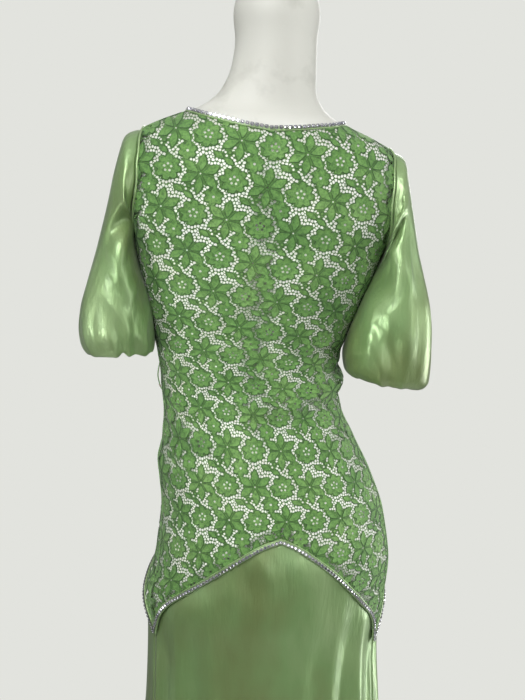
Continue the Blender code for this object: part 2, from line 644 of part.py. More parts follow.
def lace_panel(half):
    """One lace panel with its largest gaps cut through. It gives back the strips along the hem and the neckline,
    each as outer face points at the edge, at the strip's inner side, and the directions out of the cloth."""
    plan = LacePlan(half)
    left, right = side_lines(half, 1, plan), side_lines(half, -1, plan)
    hem, neck = left[0][::-1] + right[0][1:], left[2] + right[2][-2::-1]
    if half == "back":
        hem, neck = hem[::-1], neck[::-1]
    outline = left[0] + left[1] + left[2] + right[2][-2::-1] + right[1][::-1] + right[0][:0:-1]
    if half == "front":
        outline = outline[::-1]
    seams = sorted([left[1][0], right[1][0]]), sorted([left[1][-1], right[1][-1]])
    hem_in = moved_in(hem, plan, 1, seams[0])
    neck_in = moved_in(neck, plan, -1, seams[1])
    worn = [*outline, *hem_in, *neck_in]

    flat_outline = plan.flat(outline)
    strips = [plan.flat(hem_in), plan.flat(neck_in)]
    low, high = flat_outline.min(0), flat_outline.max(0)
    gaps = gap_places(half, plan, low, high)
    gaps = gaps[inside(gaps, flat_outline) & (apart(gaps, flat_outline, True) > LACE_GAP_MARGIN)]
    rows = np.arange(low[1], high[1], FIELD["up"])
    columns = np.arange(low[0] - FIELD["across"], high[0], FIELD["across"])
    field = np.array([(x + r % 2 * FIELD["across"] / 2, y) for r, y in enumerate(rows) for x in columns])
    crests = ridge_places(plan, half)
    field = field[np.linalg.norm(field[:, None] - crests[None], axis=-1).min(1) > FIELD["crest"]]
    field = np.concatenate([crests, field])
    field = field[inside(field, flat_outline) & (apart(field, flat_outline, True) > FIELD["edge"])]
    for strip in strips:
        field = field[apart(field, strip, False) > FIELD["strip"]]
        gaps = gaps[apart(gaps, strip, False) > GAP_TO_STRIP]
    field = field[np.linalg.norm(field[:, None] - gaps[None], axis=-1).min(1) > FIELD["gap"]]

    ring_turns = np.arange(LACE_GAP_SIDES) * 2 * math.pi / LACE_GAP_SIDES
    ring = np.stack([np.cos(ring_turns), np.sin(ring_turns)], -1) * LACE_GAP_RADIUS
    rings = (gaps[:, None] + ring).reshape(-1, 2)
    places = np.concatenate([flat_outline, *strips, rings, field])
    worn = np.concatenate([worn, plan.worn(np.concatenate([rings, field]))])
    first_ring = len(outline) + len(hem_in) + len(neck_in)
    loops = [list(range(len(outline)))]
    loops += [list(range(k, k + LACE_GAP_SIDES)) for k in range(first_ring, first_ring + len(rings), LACE_GAP_SIDES)]
    edges = []
    for start, count in ((len(outline), len(hem_in)), (len(outline) + len(hem_in), len(neck_in))):
        edges += [(k, k + 1) for k in range(start, start + count - 1)]
    result = delaunay_2d_cdt([Vector(p) for p in places], edges, loops, 1, 1e-5)
    faces = [list(f) for f, inputs in zip(result[2], result[5]) if list(inputs) == [0]]
    sources = [inputs[0] if inputs else None for inputs in result[3]]
    spots = [plan.worn(np.array([v]))[0] if s is None else worn[s] for s, v in zip(sources, result[0])]
    used = sorted({i for face in faces for i in face})
    number = {old: new for new, old in enumerate(used)}
    faces = [[number[i] for i in face] for face in faces]
    angle, height = np.array(spots)[used].T
    inner = lace_inside(angle, height)
    out = outward(lace_inside, angle, height)
    made_wall(f"lace_{half}", inner + out * LACE_THICK, inner, faces, "lace")
    return [lace_strip(np.array(a), np.array(b)) for a, b in ((hem, hem_in), (neck, neck_in))]


def lace_strip(edge, inset):
    """The outer face of the lace along an edge: points at the edge, points at the inset, directions out."""
    out_edge, out_inset = outward(lace_inside, *edge.T), outward(lace_inside, *inset.T)
    return (
        lace_inside(*edge.T) + out_edge * LACE_THICK,
        lace_inside(*inset.T) + out_inset * LACE_THICK,
        unit(out_edge + out_inset),
    )


# Trimmings


def band(name, strip, edges, lift, thick, closed, material):
    """A flat band over a strip of the lace, between two distances from the edge."""
    edge, inset, out = strip
    near, far = (edge + (inset - edge) * d / STRIP_WIDTH for d in edges)
    top = lift + thick
    stations = np.stack([near + out * lift, far + out * lift, far + out * top, near + out * top], 1)
    return made_rod(name, stations, closed, material)


def trimmings(back, front):
    """The satin binding and the crystal chain along the neckline and the hem."""
    neck = [np.concatenate([b, f[1:-1]]) for b, f in zip(back[1], front[1])]
    chain_lift = SEAM_GAP + BINDING_THICK + SEAM_GAP
    strips = (("neck", neck, True), ("hem_back", back[0], False), ("hem_front", front[0], False))
    for name, strip, closed in strips:
        band(f"binding_{name}", strip, BINDING_EDGES, SEAM_GAP, BINDING_THICK, closed, "satin")
        band(f"chain_{name}", strip, CHAIN_EDGES, chain_lift, CHAIN_THICK, closed, "crystal")


def piping(name, side):
    """The satin piping round an armhole, on the lace."""
    loop = np.array(armhole_half("back") + armhole_half("front")[-2:0:-1])
    millimetres = (MM_PER_ARM_DEGREE, 1)
    way = (loop - (90, (ARMHOLE_TOP + ARMHOLE_BOTTOM) / 2)) * millimetres
    loop = loop + unit(way) * PIPING_AWAY / millimetres
    angle, height = side * loop[:, 0], loop[:, 1]
    out = outward(lace_inside, angle, height)
    path = lace_inside(angle, height) + out * (LACE_THICK + SEAM_GAP + PIPING_SLACK + PIPING_RADIUS)
    made_rod(name, tube_outlines(path, True, PIPING_RADIUS, PIPING_SIDES, out), True, "satin")


def belt_loop(name):
    """The thread loop for a belt at the left side of the waist."""
    share = np.linspace(0, 1, LOOP_STEPS + 1)
    height = LOOP_ENDS[0] + (LOOP_ENDS[1] - LOOP_ENDS[0]) * share
    angle = np.full(height.shape, LOOP_ANGLE)
    out = outward(lace_inside, angle, height)
    lift = LACE_THICK + SEAM_GAP + LOOP_RADIUS + LOOP_RISE * np.sin(np.pi * share)
    path = lace_inside(angle, height) + out * lift[:, None]
    made_rod(name, tube_outlines(path, False, LOOP_RADIUS, PIPING_SIDES, out), False, "thread")


# The sleeves


def beside_figure(points, side):
    """A sleeve's points, moved out sideways to where they clear the bodice."""
    lean = np.tan(np.radians(read(FIGURE, FIGURE_COLUMNS, "height", "lean", points[..., 2])))
    rings = figure(side * BODICE_SIDE, (points[..., 2] - lean * points[..., 0])[..., None])
    least = [
        np.interp(y, ring[:, 1], side * ring[:, 0], left=0, right=0)
        for y, ring in zip(points[:, 1], rings)
    ]
    moved = points.copy()
    moved[:, 0] = side * np.maximum(side * points[:, 0], np.array(least) + SLEEVE_BESIDE)
    return moved


def sleeve(hand):
    """A puffed sleeve from the armhole to its gathered cuff, turned under at the edge. Its back and its front
    part along the underarm and the outer side."""
    side = 1 if hand == "left" else -1
    loop = armhole_half("back")[::-1] + armhole_half("front")[1:-1]
    turns = np.arange(len(loop)) * 360 / len(loop)
    angle, height = np.array(loop).T
    first = lace_inside(side * angle, height)
    first += outward(lace_inside, side * angle, height) * (LACE_THICK + SLEEVE_SEAM)
    rings = [first]
    across, along = np.cos(np.radians(turns)), np.sin(np.radians(turns))
    radius = (np.abs(across) ** SLEEVE_SQUARE + np.abs(along) ** SLEEVE_SQUARE) ** (-1 / SLEEVE_SQUARE)
    for share in SLEEVE_RINGS[1:]:
        at = {n: float(read(SLEEVES[hand], SLEEVE_COLUMNS, "share", n, share)) for n in SLEEVE_COLUMNS[1:]}
        outer = np.array([side * at["outer_x"], at["mid_y"], at["outer_z"]])
        inner = np.array([side * at["inner_x"], at["mid_y"], at["inner_z"]])
        gathered = np.clip((share - SLEEVE_GATHER_START) / (1 - SLEEVE_GATHER_START), 0, 1)
        ripple = 1 + SLEEVE_GATHER_RISE * gathered * np.cos(np.radians(turns * SLEEVE_GATHERS)) / at["half_y"]
        reach = (radius * ripple)[:, None]
        ring = (outer + inner) / 2 + (outer - inner) / 2 * across[:, None] * reach
        rings.append(ring + np.array([0, at["half_y"], 0]) * along[:, None] * reach)
    middle = np.array(rings)
    around = np.roll(middle, -1, axis=1) - np.roll(middle, 1, axis=1)
    down = np.gradient(middle, axis=0)
    out = unit(np.cross(around, down)) * side
    shares = np.array(SLEEVE_RINGS)[:, None] * 100
    folds = SLEEVE_FOLDS[hand] + [(a + 360, p, b + 360, q, w, r) for a, p, b, q, w, r in SLEEVE_FOLDS[hand]]
    here = np.broadcast_arrays(turns[None, :], shares)
    rise = fold_rise(folds, *here, MM_PER_SLEEVE_DEGREE, MM_PER_PERCENT)
    middle = middle + out * rise[..., None]
    middle[1:] = beside_figure(middle[1:].reshape(-1, 3), side).reshape(middle[1:].shape)
    under = len(loop) // 2
    for half, columns in (("back", [*range(under + 1)]), ("front", [*range(under, len(loop)), 0])):
        cloth = middle[:, columns]
        for edge, beside in ((0, 1), (-1, -2)):
            cloth[:, edge] += unit(cloth[:, beside] - cloth[:, edge]) * SEAM_GAP / 2
        half_wall = (out[:, columns] * SATIN_THICK / 2).reshape(-1, 3)
        cloth = cloth.reshape(-1, 3)
        faces = grid_faces(len(rings), len(columns), ring=False)
        made_wall(f"sleeve_{hand}_{half}", cloth + half_wall, cloth - half_wall, faces, "satin")


# The skirt


def skirt_panel(name, start, end):
    """A skirt panel between two seams, from under the lace's hem to the floor."""
    margin = SEAM_GAP / 2 / MM_PER_DEGREE
    columns = round((end - start) / SKIRT_COLUMN_STEP) + 1
    angle = np.linspace(start + margin, end - margin, columns)[None, :]
    top = hem_height(angle) + HEM_OVERLAP
    height = FLOOR_CLEARANCE + (top - FLOOR_CLEARANCE) * np.array(SKIRT_ROWS)[:, None]
    middle = skirt_middle(angle, height).reshape(-1, 3)
    half_wall = outward(skirt_middle, angle + 0 * height, height).reshape(-1, 3) * SATIN_THICK / 2
    faces = grid_faces(len(SKIRT_ROWS), columns, ring=False)
    made_wall(name, middle + half_wall, middle - half_wall, faces, "satin")


# The dress form and its stand


def dress_form(name):
    """The torso and neck of the form, a little smaller than the dress, with flat plates at its armholes."""
    angles = np.arange(FORM_SIDES) * 360 / FORM_SIDES
    stations = []
    for level in FORM_LEVELS:
        point = figure(angles, level)
        gap = float(read(FORM_GAPS, FORM_GAP_COLUMNS, "height", "gap", level))
        point -= outward(figure, angles, min(level, FORM_LEVELS[-1] - 1)) * gap
        share = (level - SPINE["from"]) / (SPINE["to"] - SPINE["from"])
        hollow = SPINE["depth"] * math.sin(math.pi * min(max(share, 0), 1))
        point[:, 1] -= hollow * np.exp(-((wrap(angles) / SPINE["half_width"]) ** 2))
        middle = float(read(FIGURE, FIGURE_COLUMNS, "height", "mid_x", level))
        point[:, 0] = np.clip(point[:, 0], middle - FORM_PLATE, middle + FORM_PLATE)
        stations.append(point)
    made_rod(name, stations, False, "form")


def turned_solid(name, profile, base, material):
    """A solid of revolution about the vertical, from a profile of radii and heights over a base height."""
    turns = np.arange(STAND_SIDES) * 2 * math.pi / STAND_SIDES
    rings = [[(r * math.cos(t), r * math.sin(t), base + z) for t in turns] for r, z in profile[1:-1]]
    made_rod(name, np.array(rings), False, material)


def main():
    for ob in list(bpy.data.objects):
        bpy.data.objects.remove(ob)
    back, front = lace_panel("back"), lace_panel("front")
    trimmings(back, front)
    for hand, side in (("left", 1), ("right", -1)):
        sleeve(hand)
        piping(f"piping_{hand}", side)
    belt_loop("belt_loop_left")
    skirt_panel("skirt_back", -SKIRT_SEAM_ANGLE, SKIRT_SEAM_ANGLE)
    skirt_panel("skirt_front", SKIRT_SEAM_ANGLE, 360 - SKIRT_SEAM_ANGLE)
    dress_form("dress_form")
    turned_solid("stand_base", BASE_PROFILE, 0, "metal")
    turned_solid("stand_pole", POLE_PROFILE, BASE_PROFILE[-1][1] + SEAM_GAP, "metal")


main()
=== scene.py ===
"""The looks of the bias cut dress on its form: lace, satin, crystals and the form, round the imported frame.

Sizes are in millimetres and angles in degrees, and the objects are made in metres, as in the CAD. Angles run
round the figure from the middle of the back (0) over the wearer's left side (90, on +X) to the front (180).
"""

import math

import bpy
import numpy as np
from mathutils import Matrix, Vector
from mathutils.geometry import delaunay_2d_cdt


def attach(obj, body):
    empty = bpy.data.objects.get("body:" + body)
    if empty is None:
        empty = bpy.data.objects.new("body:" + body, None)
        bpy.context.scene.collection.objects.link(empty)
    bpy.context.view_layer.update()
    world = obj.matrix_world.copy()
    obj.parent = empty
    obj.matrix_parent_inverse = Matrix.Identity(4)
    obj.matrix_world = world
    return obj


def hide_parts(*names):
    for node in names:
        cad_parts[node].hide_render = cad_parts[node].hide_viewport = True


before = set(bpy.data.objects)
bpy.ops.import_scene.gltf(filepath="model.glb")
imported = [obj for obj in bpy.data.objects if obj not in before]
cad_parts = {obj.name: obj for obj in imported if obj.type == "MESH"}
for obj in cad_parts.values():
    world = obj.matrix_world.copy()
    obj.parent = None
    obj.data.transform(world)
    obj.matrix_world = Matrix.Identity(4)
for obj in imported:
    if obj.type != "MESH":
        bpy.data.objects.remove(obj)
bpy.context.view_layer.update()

MM = 0.001


def table(names, *rows):
    """The columns of a table by their names."""
    return dict(zip(names.split(), np.array(rows, float).T))


def placed(name, data):
    """A new object in the scene."""
    ob = bpy.data.objects.new(name, data)
    bpy.context.scene.collection.objects.link(ob)
    return ob


# Camera: behind the figure and a little to its left, as in the photo. Metres, degrees, millimetres of lens

CAMERA = {"yaw": 5, "away": 1.5, "height": 1.28, "look_z": 1.094, "roll": 1.5, "lens": 54.72, "sensor": 36}


def made_camera():
    yaw, roll, away = math.radians(CAMERA["yaw"]), math.radians(CAMERA["roll"]), CAMERA["away"]
    place = Vector((away * math.sin(yaw), away * math.cos(yaw), CAMERA["height"]))
    ahead = (Vector((0, 0, CAMERA["look_z"])) - place).normalized()
    level = ahead.cross(Vector((0, 0, 1))).normalized()
    top = level.cross(ahead)
    right = level * math.cos(roll) + top * math.sin(roll)
    up = top * math.cos(roll) - level * math.sin(roll)
    data = bpy.data.cameras.new("camera")
    data.lens, data.sensor_width = CAMERA["lens"], CAMERA["sensor"]
    camera = placed("camera", data)
    camera.matrix_world = Matrix.Translation(place) @ Matrix((right, up, -ahead)).transposed().to_4x4()
    bpy.context.scene.camera = camera


# The figure under the cloth, as in the CAD

LACE_THICK = 1.2
SATIN_THICK = 1.0
SHELL = 0.8  # the satin's thickness in this script
UNDER_LACE = 1.3  # from the skirt's outer face to the lace over it
HEM_OVERLAP = 10.0  # how far the skirt reaches up under the lace
FLOOR_CLEARANCE = 22.0
FIGURE = table(
    "height mid_x half_width mid_y back front square lean",
    (15, -3, 350, 10, 332, -298, 2, 0), (150, -5, 288, 8, 260, -234, 2, 0),
    (300, -8, 230, 6, 188, -170, 2, 0), (440, -11, 189, 5, 137, -125, 2, 0),
    (570, -12, 173, 5, 120, -109, 2.1, 0), (680, -10, 168, 5, 127, -110, 2.1, 0),
    (750, -13, 171, 8, 138, -112, 2.1, 0), (810, -21, 166, 10, 140, -111, 2.1, 0),
    (870, -19, 158, 8, 130, -109, 2.1, 0), (925, -7, 150, 4, 114, -107, 2.1, 0),
    (975, 3, 135, 0, 97, -103, 2.1, 0), (1020, 13, 125, -4, 86, -99, 2.1, 0),
    (1060, 17, 125, -5, 82, -99, 2.1, 0), (1090, 19, 128, -5, 83, -102, 2.1, 0.2),
    (1120, 18, 137, -4, 86, -106, 2.1, 0.5), (1158, 16, 149, 0, 92, -112, 2.2, 1),
    (1197, 13, 160, 4, 98, -118, 2.3, 1.8), (1245, 10, 174, 8, 102, -119, 2.4, 2.6),
    (1290, 8, 190, 11, 104, -108, 2.5, 3.2), (1330, 6, 193, 13, 103, -90, 2.5, 3.3),
    (1362, 4, 186, 15, 97, -73, 2.4, 3.3), (1385, 2, 171, 15, 88, -59, 2.3, 3.3),
    (1398, 3, 148, 15, 80, -49, 2.2, 3.3), (1409, 4, 123, 14, 72, -41, 2.1, 3.3),
    (1419, 5, 100, 13, 65, -36, 2.1, 3.2), (1432, 4, 80, 12, 60, -35, 2.1, 2.8),
    (1452, 1, 65, 11, 58, -38, 2.1, 2), (1485, -5, 58, 9, 57, -43, 2.1, 0.8),
    (1520, -7, 56, 8, 57, -46, 2.1, 0), (1553, -7, 59, 8, 59, -48, 2.1, 0),
    (1573, -7, 56, 8, 55, -44, 2.1, 0), (1582, -7, 46, 8, 45, -33, 2.1, 0),
    (1585, -7, 30, 8, 30, -18, 2.1, 0),
)
NECKLINE = table(
    "angle height",
    (0, 1399), (30, 1402.5), (60, 1410), (90, 1417.5), (115, 1405), (145, 1376), (180, 1358),
)
HEM_BACK = table(
    "angle height",
    (0, 851), (9, 843), (25, 819), (42, 785), (54, 758), (61, 741), (66, 722), (70, 690),
)
HEM_FRONT = table(
    "angle height",
    (70, 690), (78, 723), (86, 745), (98, 769), (120, 800), (150, 830), (170, 843), (180, 846),
)
HEM_POINT_ANGLE = 70.0
HEM_LEAN = 8.0  # how much higher the hem is on the left side than in the middle
SIDE_SEAM = table(
    "height angle",
    (680, 70), (760, 75), (850, 81), (950, 86), (1050, 89), (1245, 90),
)
TIP_MITRE = 16.0  # the height over the hem's points where the mitres of the two strips end
TIP_REACH = 22.0  # how far from a point its strip starts to turn into the mitre
STRIP_WIDTH = 7.4
ARMHOLE_BOTTOM, ARMHOLE_TOP = 1245.0, 1385.0
ARMHOLE_MIDDLE, ARMHOLE_REACH = 1315.0, 70.0
ARMHOLE_SPAN = {"back": -16.5, "front": 17.0}
CENTRE = {"back": 0.0, "front": 180.0}
MM_PER_DEGREE = 2.2
MM_PER_ARM_DEGREE = 3.1

# Folds of the lace, each a row of turn and height at its two ends, half width and rise. The large folds are
# the CAD's, and the small ones are only here.
FOLD_ENDS = 0.12
LACE_FOLDS = [
    (-100, 1062, -34, 1028, 14, 7), (-44, 1030, 14, 1022, 13, 4.5), (80, 1012, 40, 962, 12, 3.5),
    (84, 982, 50, 934, 11, 3), (92, 955, 68, 925, 15, 4), (172, 1040, 104, 1016, 14, 4),
]
LACE_CREASES = [
    (-100, 1070, -30, 1035, 9, 4), (-100, 1044, -30, 1009, 7, -4.6), (-30, 1040, 14, 1030, 6, 1.6),
    (-34, 1006, 10, 1004, 8, -2), (-98, 1084, -60, 1060, 6, -2.2), (-96, 1090, -52, 1078, 7, 1.8),
    (-80, 1116, -30, 1100, 8, 1.6), (-30, 1066, 30, 1074, 7, 1.3), (-10, 1096, 44, 1104, 8, 1.2),
    (-40, 1124, 20, 1132, 8, 1.1), (60, 1064, 20, 1046, 7, 1.6), (88, 1046, 52, 1008, 6, 1.8),
    (76, 1040, 34, 996, 6, 1.5), (66, 1000, 26, 950, 7, 1.3), (-90, 1018, -50, 1000, 6, 1.4),
    (-84, 986, -46, 980, 8, 1.2), (120, 1060, 200, 1064, 8, 1.4), (130, 1098, 220, 1090, 8, 1.2),
    (214, 1030, 262, 1008, 8, 1.8), (100, 1150, 150, 1190, 9, 1.5), (-100, 1150, -150, 1186, 9, 1.5),
]
TIP_FLARE = {"angle": 78, "half_turn": 13, "height": 738, "half_height": 40, "rise": 5.0}


def smooth(xs, ys, at):
    """Rows of numbers as smooth curves over xs. They pass through the rows and never overshoot them."""
    xs, ys = np.asarray(xs, float), np.asarray(ys, float)
    at = np.clip(np.asarray(at, float), xs[0], xs[-1])
    step = np.diff(xs).reshape(-1, *[1] * (ys.ndim - 1))
    slope = np.diff(ys, axis=0) / step
    tangent = np.zeros(ys.shape)
    tangent[0], tangent[-1] = slope[0], slope[-1]
    same = slope[:-1] * slope[1:] > 0
    low, high = np.where(same, slope[:-1], 1), np.where(same, slope[1:], 1)
    before, after = 2 * step[1:] + step[:-1], step[1:] + 2 * step[:-1]
    tangent[1:-1] = np.where(same, (before + after) / (before / low + after / high), 0)
    k = np.clip(np.searchsorted(xs, at) - 1, 0, len(xs) - 2)
    gap = np.diff(xs)[k]
    t = (at - xs[k]) / gap
    if ys.ndim > 1:
        t, gap = t[:, None, None], gap[:, None, None]
    value = ys[k] * (1 + 2 * t) * (1 - t) ** 2 + ys[k + 1] * t * t * (3 - 2 * t)
    return value + gap * (tangent[k] * t * (1 - t) ** 2 - tangent[k + 1] * t * t * (1 - t))


def read(columns, by, name, at):
    """A column of a table as a smooth curve over another column."""
    return smooth(columns[by], columns[name], at)


def read_all(columns, by, at):
    """All the other columns of a table, read at the same places."""
    return {name: read(columns, by, name, at) for name in columns if name != by}


def wrap(angle):
    """An angle from -180 up to 180."""
    return (np.asarray(angle, float) + 180) % 360 - 180


def unit(vectors):
    return vectors / np.linalg.norm(vectors, axis=-1, keepdims=True)


def pairs(a, b):
    return np.stack(np.broadcast_arrays(a, b), -1)


def fold_rise(folds, turn, along, mm_per_turn, mm_per_along=1):
    """How far folds lift a cloth. A fold is full along its line and falls off at its ends and sides."""
    scale = np.array([mm_per_turn, mm_per_along])
    here = pairs(turn, along) * scale
    rise = np.zeros(here.shape[:-1])
    for turn_1, along_1, turn_2, along_2, half_width, height in folds:
        start = np.array([turn_1, along_1]) * scale
        way = np.array([turn_2, along_2]) * scale - start
        share = np.clip((here - start) @ way / (way @ way), 0, 1)
        off = np.linalg.norm(here - start - share[..., None] * way, axis=-1) / half_width
        wave = np.sin(np.pi * (FOLD_ENDS + (1 - 2 * FOLD_ENDS) * share))
        rise += height * np.exp(-off * off) * wave
    return rise


def figure(angle, height):
    """Places on the figure that the cloth lies on."""
    angle, height = np.broadcast_arrays(np.asarray(angle, float), np.asarray(height, float))
    at = read_all(FIGURE, "height", height)
    across, along = np.sin(np.radians(angle)), np.cos(np.radians(angle))
    reach = np.where(along > 0, at["back"] - at["mid_y"], at["mid_y"] - at["front"])
    squares = np.abs(across / at["half_width"]) ** at["square"] + np.abs(along / reach) ** at["square"]
    radius = squares ** (-1 / at["square"])
    x = radius * across
    z = height + np.tan(np.radians(at["lean"])) * x
    return np.stack([at["mid_x"] + x, at["mid_y"] + radius * along, z], -1)


def outward(surface, angle, height, turn=0.4, rise=0.6):
    """The directions straight out of a surface, from its slopes over a small turn and rise."""
    around = surface(angle + turn, height) - surface(angle - turn, height)
    up = surface(angle, height + rise) - surface(angle, height - rise)
    return unit(np.cross(up, around))


def lace_rise(angle, height):
    """How far the cloth's folds lift the lace off the figure."""
    turn = wrap(angle)
    rise = fold_rise(LACE_FOLDS + LACE_CREASES, turn, height, MM_PER_DEGREE)
    past = fold_rise(LACE_CREASES, turn % 360, height, MM_PER_DEGREE)
    rise += np.where(turn < 0, past, 0)
    turned = (turn - TIP_FLARE["angle"]) / TIP_FLARE["half_turn"]
    lifted = (height - TIP_FLARE["height"]) / TIP_FLARE["half_height"]
    return rise + TIP_FLARE["rise"] * np.exp(-turned * turned - lifted * lifted)


def lace_inside(angle, height):
    """The inner face of the lace: the figure with the cloth's folds on it."""
    angle, height = np.broadcast_arrays(np.asarray(angle, float), np.asarray(height, float))
    return figure(angle, height) + outward(figure, angle, height) * lace_rise(angle, height)[..., None]


def on_lace(angle, height, lift):
    """Places that far out from the inner face of the lace, and the directions out of it there."""
    out = outward(lace_inside, angle, height)
    return lace_inside(angle, height) + out * lift, out


def hem_height(angle):
    turn = np.abs(wrap(angle))
    back, front = (read(half, "angle", "height", turn) for half in (HEM_BACK, HEM_FRONT))
    return np.where(turn <= HEM_POINT_ANGLE, back, front) + HEM_LEAN * np.sin(np.radians(angle))


def neck_height(angle):
    return read(NECKLINE, "angle", "height", np.abs(wrap(angle)))


def side_seam(height):
    """The angle of the left side seam."""
    return read(SIDE_SEAM, "height", "angle", height)


def armhole_half(half, steps):
    """Half of the left armhole as angles and heights, from the underarm to the shoulder."""
    turns = np.linspace(0, math.pi, steps + 1)
    return pairs(90 + ARMHOLE_SPAN[half] * np.sin(turns), ARMHOLE_MIDDLE - ARMHOLE_REACH * np.cos(turns))


# Materials


def shader(name, **sockets):
    """A material with its Principled shader's own sockets set, its node tree and that shader."""
    material = bpy.data.materials.new(name)
    material.use_nodes = True
    principled = material.node_tree.nodes["Principled BSDF"]
    for socket, value in sockets.items():
        principled.inputs[socket.replace("_", " ")].default_value = value
    return material, material.node_tree, principled


def ramped(tree, output, stops):
    """A colour from a value through a ramp. Its stops are a place and a colour each."""
    ramp = tree.nodes.new("ShaderNodeValToRGB")
    while len(ramp.color_ramp.elements) < len(stops):
        ramp.color_ramp.elements.new(0.5)
    for element, (place, colour) in zip(ramp.color_ramp.elements, stops):
        element.position, element.color = place, (*colour, 1)
    tree.links.new(output, ramp.inputs["Fac"])
    return ramp.outputs["Color"]


def tinted(tree, principled, output, stops):
    """The shader's own colour from a value through a ramp."""
    tree.links.new(ramped(tree, output, stops), principled.inputs["Base Color"])


def texture(tree, kind, scale, stretch=(1, 1, 1), bands=None, **settings):
    """The value of a texture in object space, of that scale in each metre and stretched along the axes."""
    place = tree.nodes.new("ShaderNodeTexCoord")
    mapping = tree.nodes.new("ShaderNodeMapping")
    mapping.inputs["Scale"].default_value = stretch
    node = tree.nodes.new(f"ShaderNodeTex{kind}")
    for socket, value in {"Scale": scale, **settings}.items():
        node.inputs[socket].default_value = value
    if bands:
        node.bands_direction = bands
    tree.links.new(place.outputs["Object"], mapping.inputs["Vector"])
    tree.links.new(mapping.outputs["Vector"], node.inputs["Vector"])
    return node.outputs["Fac"]


def mesh_value(tree, name):
    """A value that the mesh keeps for each face."""
    node = tree.nodes.new("ShaderNodeAttribute")
    node.attribute_name = name
    return node.outputs["Fac"]


def mapped(tree, output, low, high, first=0.0, last=1.0):
    """A value that goes from first to last as another goes from low to high."""
    node = tree.nodes.new("ShaderNodeMapRange")
    for socket, value in (("From Min", low), ("From Max", high), ("To Min", first), ("To Max", last)):
        node.inputs[socket].default_value = value
    tree.links.new(output, node.inputs["Value"])
    return node.outputs["Result"]


def height_of(tree, coordinates):
    """The Z of one kind of coordinates."""
    place = tree.nodes.new("ShaderNodeTexCoord")
    split = tree.nodes.new("ShaderNodeSeparateXYZ")
    tree.links.new(place.outputs[coordinates], split.inputs[0])
    return split.outputs["Z"]


def mixed(tree, factor, a, b, blend="MIX"):
    """A mix of two colours. The factor and each colour are a value or an output."""
    mix = tree.nodes.new("ShaderNodeMix")
    mix.data_type, mix.blend_type = "RGBA", blend
    for socket, value in ((0, factor), (6, a), (7, b)):
        if isinstance(value, bpy.types.NodeSocket):
            tree.links.new(value, mix.inputs[socket])
        else:
            mix.inputs[socket].default_value = value if socket == 0 else (*value, 1)
    return mix.outputs[2]


def mixed_shader(tree, factor, first, second, target):
    """A mix of two shaders, linked to the output node of a material or world."""
    mix = tree.nodes.new("ShaderNodeMixShader")
    for source, socket in ((factor, "Fac"), (first.outputs[0], 1), (second.outputs[0], 2)):
        tree.links.new(source, mix.inputs[socket])
    tree.links.new(mix.outputs[0], tree.nodes[target].inputs["Surface"])


def bumped(tree, principled, *heights):
    """Bumps from several outputs, each with its strength and its distance in metres."""
    last = None
    for output, strength, distance in heights:
        bump = tree.nodes.new("ShaderNodeBump")
        bump.inputs["Strength"].default_value, bump.inputs["Distance"].default_value = strength, distance
        tree.links.new(output, bump.inputs["Height"])
        if last is not None:
            tree.links.new(last, bump.inputs["Normal"])
        last = bump.outputs["Normal"]
    tree.links.new(last, principled.inputs["Normal"])


def lace_material():
    """Cotton thread in uneven green, speckled, with painted shade: darker in the net, and a dark line along
    the outlines, inside the cords and on the drawn ones.
    """
    material, tree, principled = shader("lace thread", Roughness=0.78, Sheen_Weight=0.15, Sheen_Roughness=0.5)
    greens = [(0.3, (0.09, 0.222, 0.047)), (0.5, (0.12, 0.27, 0.062)), (0.72, (0.175, 0.335, 0.094))]
    tint = ramped(tree, texture(tree, "Noise", 22.0, Detail=3.0), greens)
    speckle = texture(tree, "Noise", 270.0, Detail=4.0, Roughness=0.72)
    shade = ramped(tree, speckle, [(0.36, (0.5, 0.56, 0.48)), (0.5, (1, 1, 1)), (0.64, (1.35, 1.25, 1.3))])
    woven = mixed(tree, 1.0, tint, shade, "MULTIPLY")
    # painted shade: the net between the holes is darkened for the shadow between its threads
    net = mixed(tree, 1.0, woven, (0.6, 0.66, 0.56), "MULTIPLY")
    body = mixed(tree, mesh_value(tree, "motif"), net, woven)
    # painted shade: a dark line on the outlines, the cords' inner sides and the drawn grooves, for the shadow
    # there
    with_painted_line_shade = mixed(tree, mesh_value(tree, "line"), body, (0.016, 0.06, 0.012))
    tree.links.new(with_painted_line_shade, principled.inputs["Base Color"])
    threads = texture(tree, "Wave", 700.0, (1, 0.35, 1), "Z", Distortion=1.2)
    fibres = texture(tree, "Noise", 900.0, Detail=2.0)
    bumped(tree, principled, (threads, 0.3, 0.0004), (fibres, 0.6, 0.0006))
    return material


def satin_material(name, *greens):
    """Satin in three uneven greens, with soft hollows, long crumples, a brushed face and a fine weave."""
    material, tree, principled = shader(
        name, Roughness=0.39, Metallic=0.42, Specular_IOR_Level=0.6, Sheen_Weight=0.1, Sheen_Roughness=0.4,
        Coat_Weight=0.8, Coat_Roughness=0.38,
    )
    broad = texture(tree, "Noise", 5.0, (1, 1, 0.5), Detail=4.0, Roughness=0.6)
    tinted(tree, principled, broad, list(zip((0.34, 0.5, 0.68), greens)))
    hollows = texture(tree, "Noise", 13.0, (1, 1, 0.5), Detail=2.0)
    crumples = texture(tree, "Noise", 42.0, (1, 1, 0.2), Detail=4.0, Roughness=0.6)
    brushed = texture(tree, "Noise", 240.0, (1, 1, 0.15), Detail=3.0)
    weave = texture(tree, "Wave", 1400.0, bands="DIAGONAL", Distortion=0.6)
    bumped(
        tree, principled, (hollows, 0.9, 0.013), (crumples, 0.9, 0.0034), (brushed, 0.7, 0.0007),
        (weave, 0.05, 0.0002),
    )
    return material


